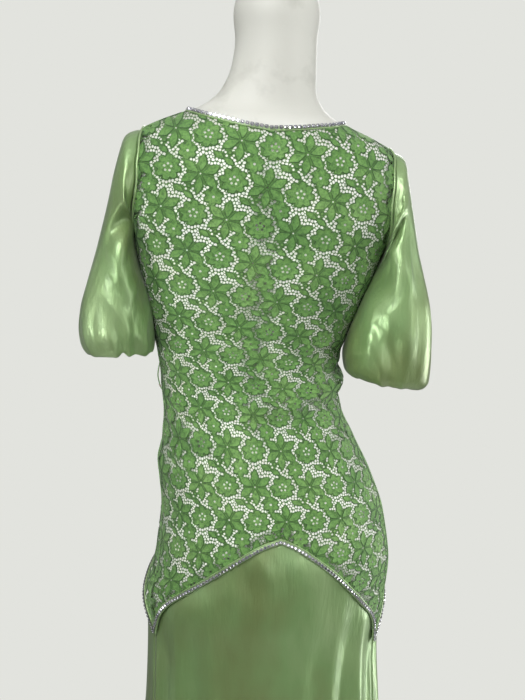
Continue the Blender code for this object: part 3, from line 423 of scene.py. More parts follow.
def form_material():
    """Off-white gloss with a faint grey mottle of painted dappled shadow, and painted light: the neck is
    darker than the body, which under the lace is painted bright against the lace's shadow.
    """
    material, tree, principled = shader(
        "glossy off-white", Roughness=0.5, Specular_IOR_Level=0.3, Coat_Weight=0.05, Coat_Roughness=0.25,
    )
    # painted shadow: a faint grey mottle for dappled shade; the same noise also gives a slight bump
    painted_shadow_mottle = texture(tree, "Noise", 9.0, Detail=5.0, Roughness=0.6)
    whites = [(0.34, (0.74, 0.74, 0.69)), (0.48, (0.95, 0.95, 0.9)), (0.8, (0.97, 0.97, 0.93))]
    # painted light: the neck is darker and the body under the lace lighter, offsetting the shade that the
    # lace casts on it
    neck_share_painted_darker = mapped(tree, height_of(tree, "Object"), 1.35, 1.42)
    painted_shadow_and_dim_neck = mixed(tree, neck_share_painted_darker, ramped(tree, painted_shadow_mottle, whites), (0.63, 0.63, 0.61), "MULTIPLY")
    tree.links.new(painted_shadow_and_dim_neck, principled.inputs["Base Color"])
    fine = texture(tree, "Noise", 30.0, Detail=3.0)
    bumped(tree, principled, (painted_shadow_mottle, 0.12, 0.004), (fine, 0.05, 0.001))
    return material


def metal_material(name, colour, rough):
    material, tree, principled = shader(name, Metallic=1.0, Roughness=rough)
    wear = texture(tree, "Noise", 40.0, (1, 1, 0.2), Detail=4.0)
    tinted(tree, principled, wear, [(0.3, tuple(c * 0.8 for c in colour)), (0.7, colour)])
    bumped(tree, principled, (wear, 0.08, 0.0005))
    return material


def crystal_material():
    material, tree, principled = shader("foiled crystal", Metallic=1.0, Roughness=0.12)
    # painted glints: the noise makes some stones and facets brighter and others darker
    glint = texture(tree, "Noise", 420.0, Detail=1.0)
    stops = [(0.34, (0.42, 0.43, 0.56)), (0.5, (0.85, 0.85, 0.88)), (0.66, (0.95, 0.92, 0.96))]
    tinted(tree, principled, glint, stops)
    bumped(tree, principled, (glint, 0.1, 0.0003))
    return material


def thread_material():
    material, tree, principled = shader("sewing thread", Roughness=0.7, Sheen_Weight=0.2)
    twist = texture(tree, "Wave", 500.0, Distortion=1.0)
    tinted(tree, principled, twist, [(0.2, (0.10, 0.22, 0.06)), (0.8, (0.26, 0.46, 0.17))])
    bumped(tree, principled, (twist, 0.4, 0.0004))
    return material


# Making objects


def made(name, points, faces, materials, slot, replaced=(), face_slots=None, flat=False):
    """A piece from points in millimetres that rides on the part and stands for CAD nodes."""
    mesh = bpy.data.meshes.new(name)
    mesh.from_pydata((np.asarray(points, float) * MM).tolist(), [], [list(map(int, f)) for f in faces])
    for material in materials:
        mesh.materials.append(material)
    if face_slots is not None:
        mesh.polygons.foreach_set("material_index", np.asarray(face_slots, np.int32))
    mesh.polygons.foreach_set("use_smooth", [not flat] * len(mesh.polygons))
    mesh.validate()
    mesh.update()
    ob = placed(name, mesh)
    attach(ob, "root")
    if replaced:
        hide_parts(*replaced)
    return ob


def grid_faces(rows, columns, ring):
    """The faces of a grid of points, which closes on itself if it is a ring."""
    last = columns if ring else columns - 1
    r, c = np.meshgrid(np.arange(rows - 1), np.arange(last), indexing="ij")
    d = (c + 1) % columns
    faces = np.stack([r * columns + c, r * columns + d, (r + 1) * columns + d, (r + 1) * columns + c], -1)
    return faces.reshape(-1, 4)


def rod(stations, closed):
    """Points and faces through a row of outlines, each with the same number of points."""
    rows, sides = len(stations), len(stations[0])
    faces = grid_faces(rows, sides, True).tolist()
    last = (rows - 1) * sides
    if closed:
        faces += [[last + c, last + (c + 1) % sides, (c + 1) % sides, c] for c in range(sides)]
    else:
        faces += [list(range(sides))[::-1], [last + c for c in range(sides)]]
    return np.concatenate(stations), faces


def ahead_along(path, closed, reach=1):
    """The way ahead at each point of a path, between the points that far before and after it."""
    ahead = np.roll(path, -reach, axis=0) - np.roll(path, reach, axis=0)
    if not closed:
        ahead[:reach], ahead[-reach:] = path[reach] - path[0], path[-1] - path[-1 - reach]
    return ahead


def tube(path, radius, sides, up, closed=False):
    """Points and faces of a round tube along a path."""
    ahead = ahead_along(path, closed)
    side = unit(np.cross(ahead, up))
    top = unit(np.cross(side, ahead))
    turns = np.arange(sides) * 2 * math.pi / sides
    radius = np.broadcast_to(radius, len(path))[:, None, None]
    across = np.cos(turns)[None, :, None] * top[:, None] + np.sin(turns)[None, :, None] * side[:, None]
    return rod(path[:, None] + radius * across, closed)


def merged(shapes):
    """Several shapes of points and faces as one, and for each face the number of its shape."""
    points, faces, numbers = [], [], []
    for number, (more, more_faces) in enumerate(shapes):
        first = sum(map(len, points))
        points.append(more)
        faces += [[i + first for i in face] for face in more_faces]
        numbers += [number] * len(more_faces)
    return np.concatenate(points), faces, numbers


def thickened(ob):
    solid = ob.modifiers.new("thickness", "SOLIDIFY")
    solid.thickness, solid.offset = SHELL * MM, 0
    return ob


def lengths_along(path):
    """The length of a path up to each of its points."""
    return np.concatenate([[0], np.cumsum(np.linalg.norm(np.diff(path, axis=0), axis=-1))])


def looped(values, closed):
    return np.concatenate([values, values[:1]]) if closed else values


def evenly(count, closed, path, *values):
    """A path at even steps, with other values along it at the same places."""
    lines = [looped(v, closed) for v in (path, *values)]
    lengths = lengths_along(lines[0])
    at = np.linspace(0, lengths[-1], count + closed)[:count]
    shares = np.interp(at, lengths, np.arange(len(lengths)))
    low = np.clip(shares.astype(int), 0, len(lengths) - 2)
    t = (shares - low)[:, None]
    return [line[low] * (1 - t) + line[low + 1] * t for line in lines]


# The lace's repeat, in its own measure around the middle of a daisy: x to the right, y up

REPEAT = (92.0, 57.5)
LACE_LIE = table(
    "height middle across up fall",
    (640, -8, 0.87, -416, -0.03), (760, 0, 0.87, -266, -0.03), (838, 5, 0.85, -168, -0.02),
    (870, 8, 0.84, -128, -0.01), (940, 17, 0.8, -36, 0.026), (1000, 27, 0.776, 36, 0.107),
    (1060, 40, 0.815, 122, 0.168), (1120, 58, 0.893, 213, 0.184), (1190, 71, 0.952, 309, 0.164),
    (1260, 81, 0.974, 394, 0.144), (1340, 90, 0.969, 483, 0.131), (1440, 101, 0.969, 590, 0.12),
)
LACE_LIFT = 0.5  # from the inner face of the lace to the net's outer face
LACE_START = {"back": (0.0, 0.0), "front": (20.0, -34.0)}
# The daisy's petals: direction, bend, reach, half width
PETALS = [
    (90, 3, 29, 6.4), (36, 22, 29.5, 7.1), (-34, -20, 29.5, 7.1), (-88, 3, 29.5, 6.4), (-146, 20, 29, 7.1),
    (147, -18, 29.5, 6.9),
]
PETAL_START, PETAL_FOOT, PETAL_STEPS = 3.6, 1.2, 9
# The rosette and the small flower: middle, lobes, outer and inner radius, phase, ends of the drawn rays
FLOWERS = [((46, 0), 8, 19.4, 14.8, 67.5, (9.4, 13.2)), ((23, -28.75), 6, 13.8, 10.2, 60, (4.6, 8.6))]
ROSETTE_RING = {"middle": (46, 0), "arcs": 8, "phase": 67.5, "ends": (9.0, 36.0), "radius": 9.2}
RAY_WIDTH, ARC_WIDTH = 0.75, 0.7
LEAVES = [((-33.5, -22), (-18.2, -30.2)), ((-18.6, -29.2), (-3.5, -36.5))]
LEAF = {"blunt": 2.0, "wide": 5.4, "steps": 14}
BUD = ((-12, -20.3), 5, 3.6, 2.8, 0, 2)
# The rings of round holes in the flowers: middle, radius, holes, phase, a hole's radius. Then single holes
HOLE_RINGS = [((-12, -20.3), 6.2, 7, math.pi / 7, 1.75), ((46, 0), 5.2, 5, 0.4, 1.9)]
SINGLE_HOLES = [(0, 0, 1.3), (23, -28.75, 2.0), (-21, -38.3, 2.5), (-22.4, -20.2, 2.1)]
HOLE_PITCH, HOLE_FROM_MOTIF, HOLE_SIDES = 4.15, 2.15, 7
HOLE_REACH = {"most": 2.75, "from": 0.7, "to": 2.8, "step": 0.1, "rim": 0.5, "beside": 0.15, "near": 9}
THREAD = 0.72
CORDS = (0.75, 1.3)  # how far in the cord that outlines a flower or a leaf has its top and its inner foot
SPOT_STEP = 0.5
FAR = 1e9


def aside_of(ahead):
    """Directions turned left."""
    return pairs(-ahead[..., 1], ahead[..., 0])


def rays(turn):
    return pairs(np.cos(turn), np.sin(turn))


def repeat_step(i, j):
    """The way to another repeat."""
    return np.array([(i + j / 2) * REPEAT[0], j * REPEAT[1]])


def moved_in(outline, by, sharpest=0.55):
    """A closed outline that runs anticlockwise, moved inwards."""
    before, after = outline - np.roll(outline, 1, axis=0), np.roll(outline, -1, axis=0) - outline
    way = unit(unit(before) + unit(after))
    sharp = np.clip((unit(after) * way).sum(-1), sharpest, 1)
    return outline + aside_of(way) * (by / sharp)[:, None]


def bar(points, wide):
    """A thin closed shape along a line."""
    points = np.array(points, float)
    aside = aside_of(unit(np.gradient(points, axis=0))) * wide / 2
    return np.concatenate([points - aside, (points + aside)[::-1]])


def petal(angle, bend, reach, half, inset=0.0):
    """A petal's closed outline, or one further in."""
    fine = np.linspace(0, 1, 60)
    ahead = rays(math.radians(angle - bend * 0.45) + math.radians(bend) * fine)
    step = (reach - PETAL_START) / (len(fine) - 1)
    middle = PETAL_START * ahead[0] + np.concatenate([[[0, 0]], np.cumsum(ahead[:-1] * step, axis=0)])
    wide = half * np.sin(np.pi * fine**0.8) ** 0.72
    wide[0] = PETAL_FOOT
    # near the daisy's middle a petal leaves room for its neighbours
    wide = np.minimum(wide, 0.47 * np.linalg.norm(middle, axis=-1) - 0.5)
    wide[-1] = 0
    t = np.linspace(0, 1, PETAL_STEPS)
    if inset:
        room = np.flatnonzero(wide > inset + 0.35)
        t = np.linspace(fine[room[0]] + 0.03, min(fine[room[-1]] + 0.03, 1), PETAL_STEPS)
    middle, ahead = (pairs(*(np.interp(t, fine, v[:, k]) for k in (0, 1))) for v in (middle, ahead))
    aside = aside_of(unit(ahead)) * np.maximum(np.interp(t, fine, wide) - inset, 0.3)[:, None]
    return np.concatenate([(middle - aside)[:-1], middle[-1:], (middle + aside)[:-1][::-1]])


def lobed(middle, lobes, outer, inner, phase, steps=4):
    """A flower's closed outline of rounded lobes."""
    k = np.arange(lobes * steps) / steps
    radius = inner + (outer - inner) * np.abs(np.sin(np.pi * k)) ** 0.5
    return np.array(middle) + rays(np.radians(phase) + 2 * np.pi * k / lobes) * radius[:, None]


def oval(start, end):
    """A leaf's closed outline between two ends."""
    start, end = np.array(start, float), np.array(end, float)
    t = np.linspace(0, 2 * math.pi, LEAF["steps"], endpoint=False)
    ahead = unit(end - start)
    half = LEAF["blunt"] + (LEAF["wide"] - LEAF["blunt"]) * (1 - np.abs(np.cos(t)))
    swell = np.sign(np.sin(t)) * np.abs(np.sin(t)) ** 0.7 * half
    along = (np.cos(t) * np.linalg.norm(end - start) / 2)[:, None] * ahead
    return (start + end) / 2 + along + swell[:, None] * aside_of(ahead)


def circle(middle, radius, count, phase=0.0):
    return np.array(middle) + rays(np.arange(count) * 2 * math.pi / count + phase) * radius


def segment_distance(points, line):
    """How far points are from a closed line."""
    way = np.roll(line, -1, axis=0) - line
    share = np.clip(((points[:, None] - line) * way).sum(-1) / (way * way).sum(-1), 0, 1)
    return np.linalg.norm(points[:, None] - line - share[..., None] * way, axis=-1).min(1)


def inside(places, outline, at_once=4000):
    """Which places lie within a closed outline, some thousands at a time."""
    ends = np.roll(outline, -1, axis=0)
    rise = np.where(ends[:, 1] == outline[:, 1], 1.0, ends[:, 1] - outline[:, 1])
    slope = (ends[:, 0] - outline[:, 0]) / rise
    hits = []
    for k in range(0, len(places), at_once):
        x, y = places[k : k + at_once, :1], places[k : k + at_once, 1:]
        crosses = (outline[:, 1] > y) != (ends[:, 1] > y)
        hits.append((crosses & (x < slope * (y - outline[:, 1]) + outline[:, 0])).sum(1) % 2 == 1)
    return np.concatenate(hits)


class Repeat:
    """One repeat of the lace: its flowers' and leaves' outlines, the threads drawn in them, and its holes."""

    def __init__(self):
        self.outlines = [petal(*row) for row in PETALS]
        self.outlines += [lobed(*flower[:5]) for flower in FLOWERS]
        self.outlines += [oval(*ends) for ends in LEAVES] + [lobed(*BUD)]
        self.inner = [[petal(*row, inset=by) for by in CORDS] for row in PETALS]
        self.inner += [[moved_in(outline, by) for by in CORDS] for outline in self.outlines[len(PETALS) :]]
        self.bars = []
        for middle, lobes, _, _, phase, ends in FLOWERS:
            for k in range(lobes):
                turn = math.radians(phase + 360 / lobes * k)
                ray = np.array([math.cos(turn), math.sin(turn)])
                self.bars.append(bar([middle + ray * end for end in ends], RAY_WIDTH))
        for k in range(ROSETTE_RING["arcs"]):
            turn = ROSETTE_RING["phase"] + 360 / ROSETTE_RING["arcs"] * k + np.array(ROSETTE_RING["ends"])
            arc = rays(np.radians(turn)) * ROSETTE_RING["radius"]
            self.bars.append(bar(arc + ROSETTE_RING["middle"], ARC_WIDTH))
        rings = [(*place, hole) for *ring, hole in HOLE_RINGS for place in circle(*ring)]
        self.holes = self.packed(rings + SINGLE_HOLES)

    def wrapped(self, points):
        """Places moved by whole repeats into the first one, as shares of its two steps."""
        v = points[:, 1] / REPEAT[1]
        u = points[:, 0] / REPEAT[0] - v / 2
        return pairs(u % 1, v % 1)

    def apart(self, points, place):
        """The distances of places to another one, over the repeats."""
        off = self.wrapped(points - place)
        best = np.full(len(points), FAR)
        for i in (-1, 0):
            for j in (-1, 0):
                v = off[:, 1] + j
                x = (off[:, 0] + i + v / 2) * REPEAT[0]
                best = np.minimum(best, np.hypot(x, v * REPEAT[1]))
                best = np.minimum(best, np.hypot(x + REPEAT[0], v * REPEAT[1]))
        return best

    def clearance(self, spots, margin=9):
        """How far spots are from the motifs of this repeat and the next, and minus how far within one."""
        clear = np.full(len(spots), 99.0)
        for outline in self.outlines:
            for i in range(-2, 3):
                for j in range(-2, 3):
                    moved = outline + repeat_step(i, j)
                    near = ((spots > moved.min(0) - margin) & (spots < moved.max(0) + margin)).all(1)
                    if near.any():
                        off = segment_distance(spots[near], moved)
                        off = np.where(inside(spots[near], moved), -off, off)
                        clear[near] = np.minimum(clear[near], off)
        return clear

    def packed(self, fixed):
        """The fixed holes and, between the motifs, as many more as fit, close along the motifs' outlines."""
        columns, rows = (int(length / SPOT_STEP) for length in REPEAT)
        u, v = np.meshgrid(np.arange(columns) / columns, np.arange(rows) / rows, indexing="ij")
        spots = pairs((u + v / 2) * REPEAT[0], v * REPEAT[1]).reshape(-1, 2)
        clear = self.clearance(spots)
        self.clear = clear.reshape(columns, rows)
        fixed = [(x, y, r) for x, y, r in fixed if abs(self.depth(np.array([[x, y]]))[0]) > r + 0.3]
        room = np.full(len(spots), FAR)
        for x, y, radius in fixed:
            room = np.minimum(room, self.apart(spots, np.array([x, y])) - max(radius - 1.6, 0))
        chosen = []
        while True:
            cost = np.abs(clear - HOLE_FROM_MOTIF) * 0.8 + np.clip(room - HOLE_PITCH, 0, 9)
            cost[(room < HOLE_PITCH) | (clear < HOLE_FROM_MOTIF - 0.35)] = FAR
            k = int(np.argmin(cost))
            if cost[k] == FAR:
                break
            chosen.append(spots[k])
            room = np.minimum(room, self.apart(spots, spots[k]))
        places = np.array([h[:2] for h in fixed] + [tuple(c) for c in chosen])
        holes = [circle((x, y), r, HOLE_SIDES, 0.3 * k) for k, (x, y, r) in enumerate(fixed)]
        return holes + [self.opened(place, places, k) for k, place in enumerate(chosen)]

    def opened(self, place, places, k):
        """A hole of the net, grown to the threads that part it from its neighbours and from the motifs."""
        ways = circle((0, 0), 1, HOLE_SIDES, 0.9 * k)
        moves = [repeat_step(i, j) for i in range(-2, 3) for j in range(-2, 3)]
        near = np.concatenate([places + move for move in moves]) - place
        away = np.linalg.norm(near, axis=-1)
        close = (away > 0.1) & (away < HOLE_REACH["near"])
        reach, beside = np.full(len(ways), HOLE_REACH["most"]), HOLE_REACH["beside"]
        for to, far in zip(near[close], away[close]):
            along = ways @ to / far
            room = (far - THREAD) / 2 / np.maximum(along, beside)
            reach = np.where(along > beside, np.minimum(reach, room), reach)
        for step in np.arange(HOLE_REACH["from"], HOLE_REACH["to"], HOLE_REACH["step"]):
            blocked = -self.depth(place + ways * step) < HOLE_REACH["rim"]
            reach = np.where(blocked, np.minimum(reach, step), reach)
        return place + ways * reach[:, None]

    def depth(self, points):
        """How far places lie inside a motif, and minus how far outside."""
        columns, rows = self.clear.shape
        u, v = self.wrapped(points).T
        return -self.clear[(u * columns).astype(int) % columns, (v * rows).astype(int) % rows]


class Lie:
    """How the repeat lies on the figure around the middle of a panel."""

    LOW, HIGH, LEVEL = 640.0, 1440.0, 6.0
    REACH, TURN = 186.0, 3.0

    def __init__(self, half):
        self.start = np.array(LACE_START[half])
        self.heights = np.arange(self.LOW, self.HIGH, self.LEVEL)
        self.angles = CENTRE[half] + np.arange(-self.REACH, self.REACH + self.TURN, self.TURN)
        rings = figure(self.angles[None, :], self.heights[:, None])
        steps = np.linalg.norm(np.diff(rings, axis=1), axis=-1)
        way_round = np.concatenate([np.zeros((len(rings), 1)), np.cumsum(steps, axis=1)], axis=1)
        self.across = way_round - way_round[:, [len(self.angles) // 2]]

    def rings(self, height):
        """The way round the figure at those heights, to each of the angles."""
        row = np.clip((height - self.heights[0]) / self.LEVEL, 0, len(self.heights) - 1.001)
        i, r = row.astype(int), (row - row.astype(int))[:, None]
        return self.across[i] * (1 - r) + self.across[i + 1] * r

    def repeat(self, worn):
        """The places in the repeat's measure of angles and heights."""
        angle, height = np.asarray(worn, float).T
        rings = self.rings(height)
        col = np.clip((angle - self.angles[0]) / self.TURN, 0, len(self.angles) - 1.001)
        j, c, k = col.astype(int), col - col.astype(int), np.arange(len(rings))
        right = -(rings[k, j] * (1 - c) + rings[k, j + 1] * c)
        at = read_all(LACE_LIE, "height", height)
        return pairs((right - at["middle"]) / at["across"], at["up"] + at["fall"] * right) - self.start

    def worn(self, repeat, turns=10):
        """The angles and heights of places in the repeat's measure."""
        across, up = (repeat + self.start).T
        height = read(LACE_LIE, "up", "height", up)
        for _ in range(turns):
            at = read_all(LACE_LIE, "height", height)
            right = at["middle"] + at["across"] * across
            height = read(LACE_LIE, "up", "height", up - at["fall"] * right)
        rings = self.rings(height)
        j = np.clip((rings < -right[:, None]).sum(1) - 1, 0, rings.shape[1] - 2)
        k = np.arange(len(rings))
        share = np.clip((-right - rings[k, j]) / (rings[k, j + 1] - rings[k, j]), 0, 1)
        return pairs(self.angles[j] + self.TURN * share, height)


def panel_outline(half):
    """The closed outline of a lace panel as angles and heights."""
    centre = CENTRE[half]
    hem = np.linspace(centre, HEM_POINT_ANGLE, 70)
    point = float(hem_height(HEM_POINT_ANGLE))
    up_side = np.linspace(point, ARMHOLE_BOTTOM, 90)[1:-1]
    shoulder = np.linspace(ARMHOLE_TOP, float(neck_height(90)), 8)[1:-1]
    neck = np.linspace(90, centre, 46)
    left = np.concatenate([
        pairs(hem, hem_height(hem)), pairs(side_seam(up_side), up_side), armhole_half(half, 36),
        pairs(90.0, shoulder), pairs(neck, neck_height(neck)),
    ])
    right = left.copy()
    right[:, 0] = 2 * centre - left[:, 0]
    right[: len(hem), 1] = hem_height(right[: len(hem), 0])
    # the right point is lower than the left one, so the right seam starts there
    shift = float(hem_height(-HEM_POINT_ANGLE)) - point
    seam = slice(len(hem), len(hem) + len(up_side))
    right[seam, 1] += shift * (ARMHOLE_BOTTOM - right[seam, 1]) / (ARMHOLE_BOTTOM - point)
    right[seam, 0] = 2 * centre - side_seam(right[seam, 1])
    return np.concatenate([left, right[-2:0:-1]])


# The lace as a net of points: what a point belongs to, and how far a motif's points rise over the net
PLAIN, OUTLINE, CORD_TOP, CORD_FOOT, DRAWN, HOLE = range(6)
RELIEF = {OUTLINE: 0.05, CORD_TOP: 0.75, CORD_FOOT: 0.5, DRAWN: 0.25}
MOTIF_RELIEF = 0.5
RIM_DEPTH = 0.4
HOLE_FROM_EDGE = 0.9  # the least way from a hole's corner to the panel's edge
EDGE_ROOM = 32  # how far past the panel's edge repeats are tried
# How strongly a painted shade line shows on the outlines, inside their cords and on what is drawn in a
# flower: the shadow at these low edges and grooves
LINE_SHARES = [1.0, 0.3, 0.8]


def lace_points(repeat, outline):
    """The points of a panel's lace with their kinds and their groups, and the edges that join them."""
    spots, kinds, groups, edges = [], [], [], []

    def add(points, kind, group=-1):
        first, count = len(kinds), len(points)
        spots.append(points)
        kinds.extend([kind] * count)
        groups.extend([group] * count)
        edges.extend((first + k, first + (k + 1) % count) for k in range(count))

    add(outline, PLAIN)
    low, high = outline.min(0) - EDGE_ROOM, outline.max(0) + EDGE_ROOM
    holes = np.array(repeat.holes)
    group = 0
    for j in range(math.floor(low[1] / REPEAT[1]), math.ceil(high[1] / REPEAT[1]) + 1):
        first, last = low[0] / REPEAT[0] - j / 2, high[0] / REPEAT[0] - j / 2
        for i in range(math.floor(first), math.ceil(last) + 1):
            move = repeat_step(i, j)
            for shape, cords in zip(repeat.outlines, repeat.inner):
                if inside(shape + move, outline).any():
                    for points, kind in ((shape, OUTLINE), (cords[0], CORD_TOP), (cords[1], CORD_FOOT)):
                        add(points + move, kind)
            for shape in repeat.bars:
                if inside(shape + move, outline).all():
                    add(shape + move, DRAWN, group)
                    group += 1
            corners = (holes + move).reshape(-1, 2)
            clear = inside(corners, outline)
            if clear.any():
                clear[clear] = segment_distance(corners[clear], outline) > HOLE_FROM_EDGE
            for hole in (holes + move)[clear.reshape(len(holes), -1).all(1)]:
                add(hole, HOLE, group)
                group += 1
    return np.concatenate(spots), np.array(kinds), np.array(groups), edges


def lace_net(repeat, outline):
    """The flat lace of a panel: its points, their kinds, the faces between the holes, and which are drawn."""
    flat, kinds, groups, edges = lace_points(repeat, outline)
    result = delaunay_2d_cdt([Vector(p) for p in flat.tolist()], edges, [], 0, 1e-4, True)
    places, faces = np.array([tuple(v) for v in result[0]]), np.array(result[2])
    sources = np.array([s[0] if s else -1 for s in result[3]])
    given = sources >= 0
    kinds, groups = np.where(given, kinds[sources], PLAIN), np.where(given, groups[sources], -1)
    one_group = (groups[faces] == groups[faces[:, :1]]).all(1) & (groups[faces[:, 0]] >= 0)
    hole = one_group & (kinds[faces[:, 0]] == HOLE)
    kept = ~hole & inside(places[faces].mean(1), outline)
    drawn = (one_group & (kinds[faces[:, 0]] == DRAWN))[kept]
    used, faces = np.unique(faces[kept], return_inverse=True)
    faces, places, kinds = faces.reshape(-1, 3), places[used], kinds[used]
    a, b, c = places[faces].transpose(1, 0, 2)
    turned = (b[:, 0] - a[:, 0]) * (c[:, 1] - a[:, 1]) - (b[:, 1] - a[:, 1]) * (c[:, 0] - a[:, 0]) < 0
    faces[turned] = faces[turned][:, ::-1]
    return places, kinds, faces, drawn


def lace_panel(half, repeat, material):
    """A lace panel: every hole of the net cut, its rims turned in, the motifs raised and corded."""
    lie = Lie(half)
    places, kinds, faces, drawn = lace_net(repeat, lie.repeat(panel_outline(half)))
    kind = kinds[faces]
    outer = (kind == OUTLINE).any(1) & (kind == CORD_TOP).any(1)
    inner = (kind == CORD_TOP).any(1) & (kind == CORD_FOOT).any(1) & ~outer
    flat = np.where(repeat.depth(places) > 0, MOTIF_RELIEF, 0)
    relief = np.select([kinds == k for k in RELIEF], list(RELIEF.values()), flat)
    top, out = on_lace(*lie.worn(places).T, (LACE_LIFT + relief)[:, None])
    sides = np.concatenate([faces[:, [0, 1]], faces[:, [1, 2]], faces[:, [2, 0]]])
    there, back = sides[:, 0] * len(top) + sides[:, 1], sides[:, 1] * len(top) + sides[:, 0]
    rims = sides[~np.isin(there, back)]
    rims = rims[(kinds[rims] == PLAIN).all(1)]
    rim_points, local = np.unique(rims, return_inverse=True)
    local = local.reshape(-1, 2) + len(top)
    points = np.concatenate([top, top[rim_points] - out[rim_points] * RIM_DEPTH])
    walls = np.stack([rims[:, 1], rims[:, 0], local[:, 0], local[:, 1]], -1)
    walled = faces.tolist() + walls.tolist()
    ob = made(f"lace_{half}_cloth", points, walled, [material], "lace", [f"lace_{half}"])
    motif = repeat.depth(places[faces].mean(1)) > 0
    # how dark the painted shade line is on each face: outlines, the cords' inner sides and the drawn grooves
    line = np.select([outer, inner, drawn], LINE_SHARES, 0.0)
    for name, values in (("motif", motif), ("line", line)):
        values = np.concatenate([values, np.zeros(len(walls))]).astype(float)
        ob.data.attributes.new(name, "FLOAT", "FACE").data.foreach_set("value", values)
    return ob


# Trimmings

# The binding's outline: how far into the panel and how far out of the lace
BINDING_PROFILE = [
    (0.3, -0.6), (0.3, 0.5), (1.2, 0.8), (5.3, 0.8), (5.7, 0.2), (6, 0.5), (6.5, 1.1), (7.1, 1.1),
    (7.6, 0.5), (7.7, -0.2), (7.3, -0.6),
]
BINDING_STATIONS = {True: 400, False: 300}
STONE = {"along": 2.5, "across": 2.6, "cup": 1.7, "girdle": 2.2, "table": 1.2, "top": 2.6, "prong": 0.55}
NECK_STONES = {"pitch": 6.45, "scale": 1.0, "inward": 2.4}
HEM_STONES = {"pitch": 5.35, "scale": 0.86, "inward": 3.3}
STONE_LIFT = 1.15
END_STONE = 1.16  # the last stones of a row are larger
STONE_TILT = 0.05
PIPING = {"off": 3.0, "lift": 1.2, "radius": 1.5, "sides": 8}
SEAM = {"lift": 0.35, "stitch": 1.6, "radius": 0.75, "swell": 0.16, "sides": 6}
# The belt loop and its strands' thread, and the other thread that is wound round it
LOOP = {"low": 1038.0, "length": 38.0, "angle": 84.0, "lift": 0.9, "bulge": 5.2, "steps": 60}
STRANDS = {"count": 3, "twist": 60, "from_middle": 0.45, "radius": 0.5, "sides": 6}
KNOT = {"at": 8, "lift": 0.4, "from_middle": 0.95, "half_width": 1.6, "steps": 40, "radius": 0.35, "sides": 5}


def strip_path(kind):
    """The edge of the lace with the directions out of it and, by the strip's width, into the panel. At the
    hem's points the strip turns into the side seam, where it meets the other panel's."""
    closed = kind == "neck"
    if closed:
        angle = np.linspace(0, 360, 721)[:-1]
        height, sense = neck_height(angle), -1
    else:
        half_turn = HEM_POINT_ANGLE if kind == "hem_back" else 180 - HEM_POINT_ANGLE
        centre = CENTRE[kind[4:]]
        angle = np.linspace(centre - half_turn, centre + half_turn, 500)
        height, sense = hem_height(angle), 1
    edge, out = on_lace(angle, height, LACE_THICK)
    inward = unit(np.cross(out, ahead_along(edge, closed))) * sense
    inward *= np.sign((inward[:, 2] * sense).mean())
    inward = inward * STRIP_WIDTH
    if not closed:
        lengths = lengths_along(edge)
        for end, away in ((0, lengths), (-1, lengths[-1] - lengths)):
            top = height[end] + TIP_MITRE
            side = math.copysign(1, wrap(angle[end]))
            target = lace_inside(side * float(side_seam(top)), top) + out[end] * LACE_THICK - edge[end]
            share = np.clip(1 - away / TIP_REACH, 0, 1)[:, None]
            inward = inward * (1 - share) + target * share
    return edge, inward / STRIP_WIDTH, out, closed


def binding(kind, material):
    edge, inward, out, closed = strip_path(kind)
    edge, inward, out = evenly(BINDING_STATIONS[closed], closed, edge, inward, out)
    stations = np.stack([edge + inward * d + out * lift for d, lift in BINDING_PROFILE], 1)
    return made(f"binding_{kind}_satin", *rod(stations, closed), [material], "satin", [f"binding_{kind}"])


def stone_shape():
    """One crystal in its cup with prongs and a link: points, faces, and for each face 1 on the crystal."""
    points, faces, slots = [], [], []

    def ring(along, across, z, phase=0.5):
        for k in range(8):
            turn = math.pi / 4 * (k + phase)
            points.append((along * math.cos(turn) * 1.06, across * math.sin(turn) * 1.06, z))
        return list(range(len(points) - 8, len(points)))

    def add(new, slot):
        faces.extend(new)
        slots.extend([slot] * len(new))

    foot = ring(STONE["along"] * 0.9, STONE["across"] * 0.9, 0)
    rim = ring(STONE["along"], STONE["across"], STONE["cup"])
    seat = ring(STONE["girdle"] * 0.94, STONE["girdle"] * 0.94, STONE["cup"])
    for a, b in ((foot, rim), (rim, seat)):
        add([[a[k], a[(k + 1) % 8], b[(k + 1) % 8], b[k]] for k in range(8)], 0)
    girdle = ring(STONE["girdle"], STONE["girdle"], STONE["cup"] - 0.2)
    top = ring(STONE["table"], STONE["table"], STONE["top"], 0)
    for k in range(8):
        after = (k + 1) % 8
        add([[girdle[k], girdle[after], top[after]], [girdle[k], top[after], top[k]]], 1)
    add([top], 1)
    base, w = STONE["cup"] - 0.1, STONE["prong"]
    for sx in (-1, 1):
        for sy in (-1, 1):
            x, y, first = sx * STONE["girdle"] * 0.82, sy * STONE["girdle"] * 0.86, len(points)
            points.extend((x + a, y + b, base) for a, b in ((-w, -w), (w, -w), (w, w), (-w, w)))
            points.append((x * 0.82, y * 0.82, STONE["cup"] + 0.75))
            add([[first + k, first + (k + 1) % 4, first + 4] for k in range(4)], 0)
    first, half = len(points), 0.5
    for x in (STONE["along"], STONE["along"] + 1.6):
        points.extend([(x, -half, 0.4), (x, half, 0.4), (x, half, 1.0), (x, -half, 1.0)])
    add([[first + k, first + (k + 1) % 4, first + 4 + (k + 1) % 4, first + 4 + k] for k in range(4)], 0)
    return np.array(points), faces, slots


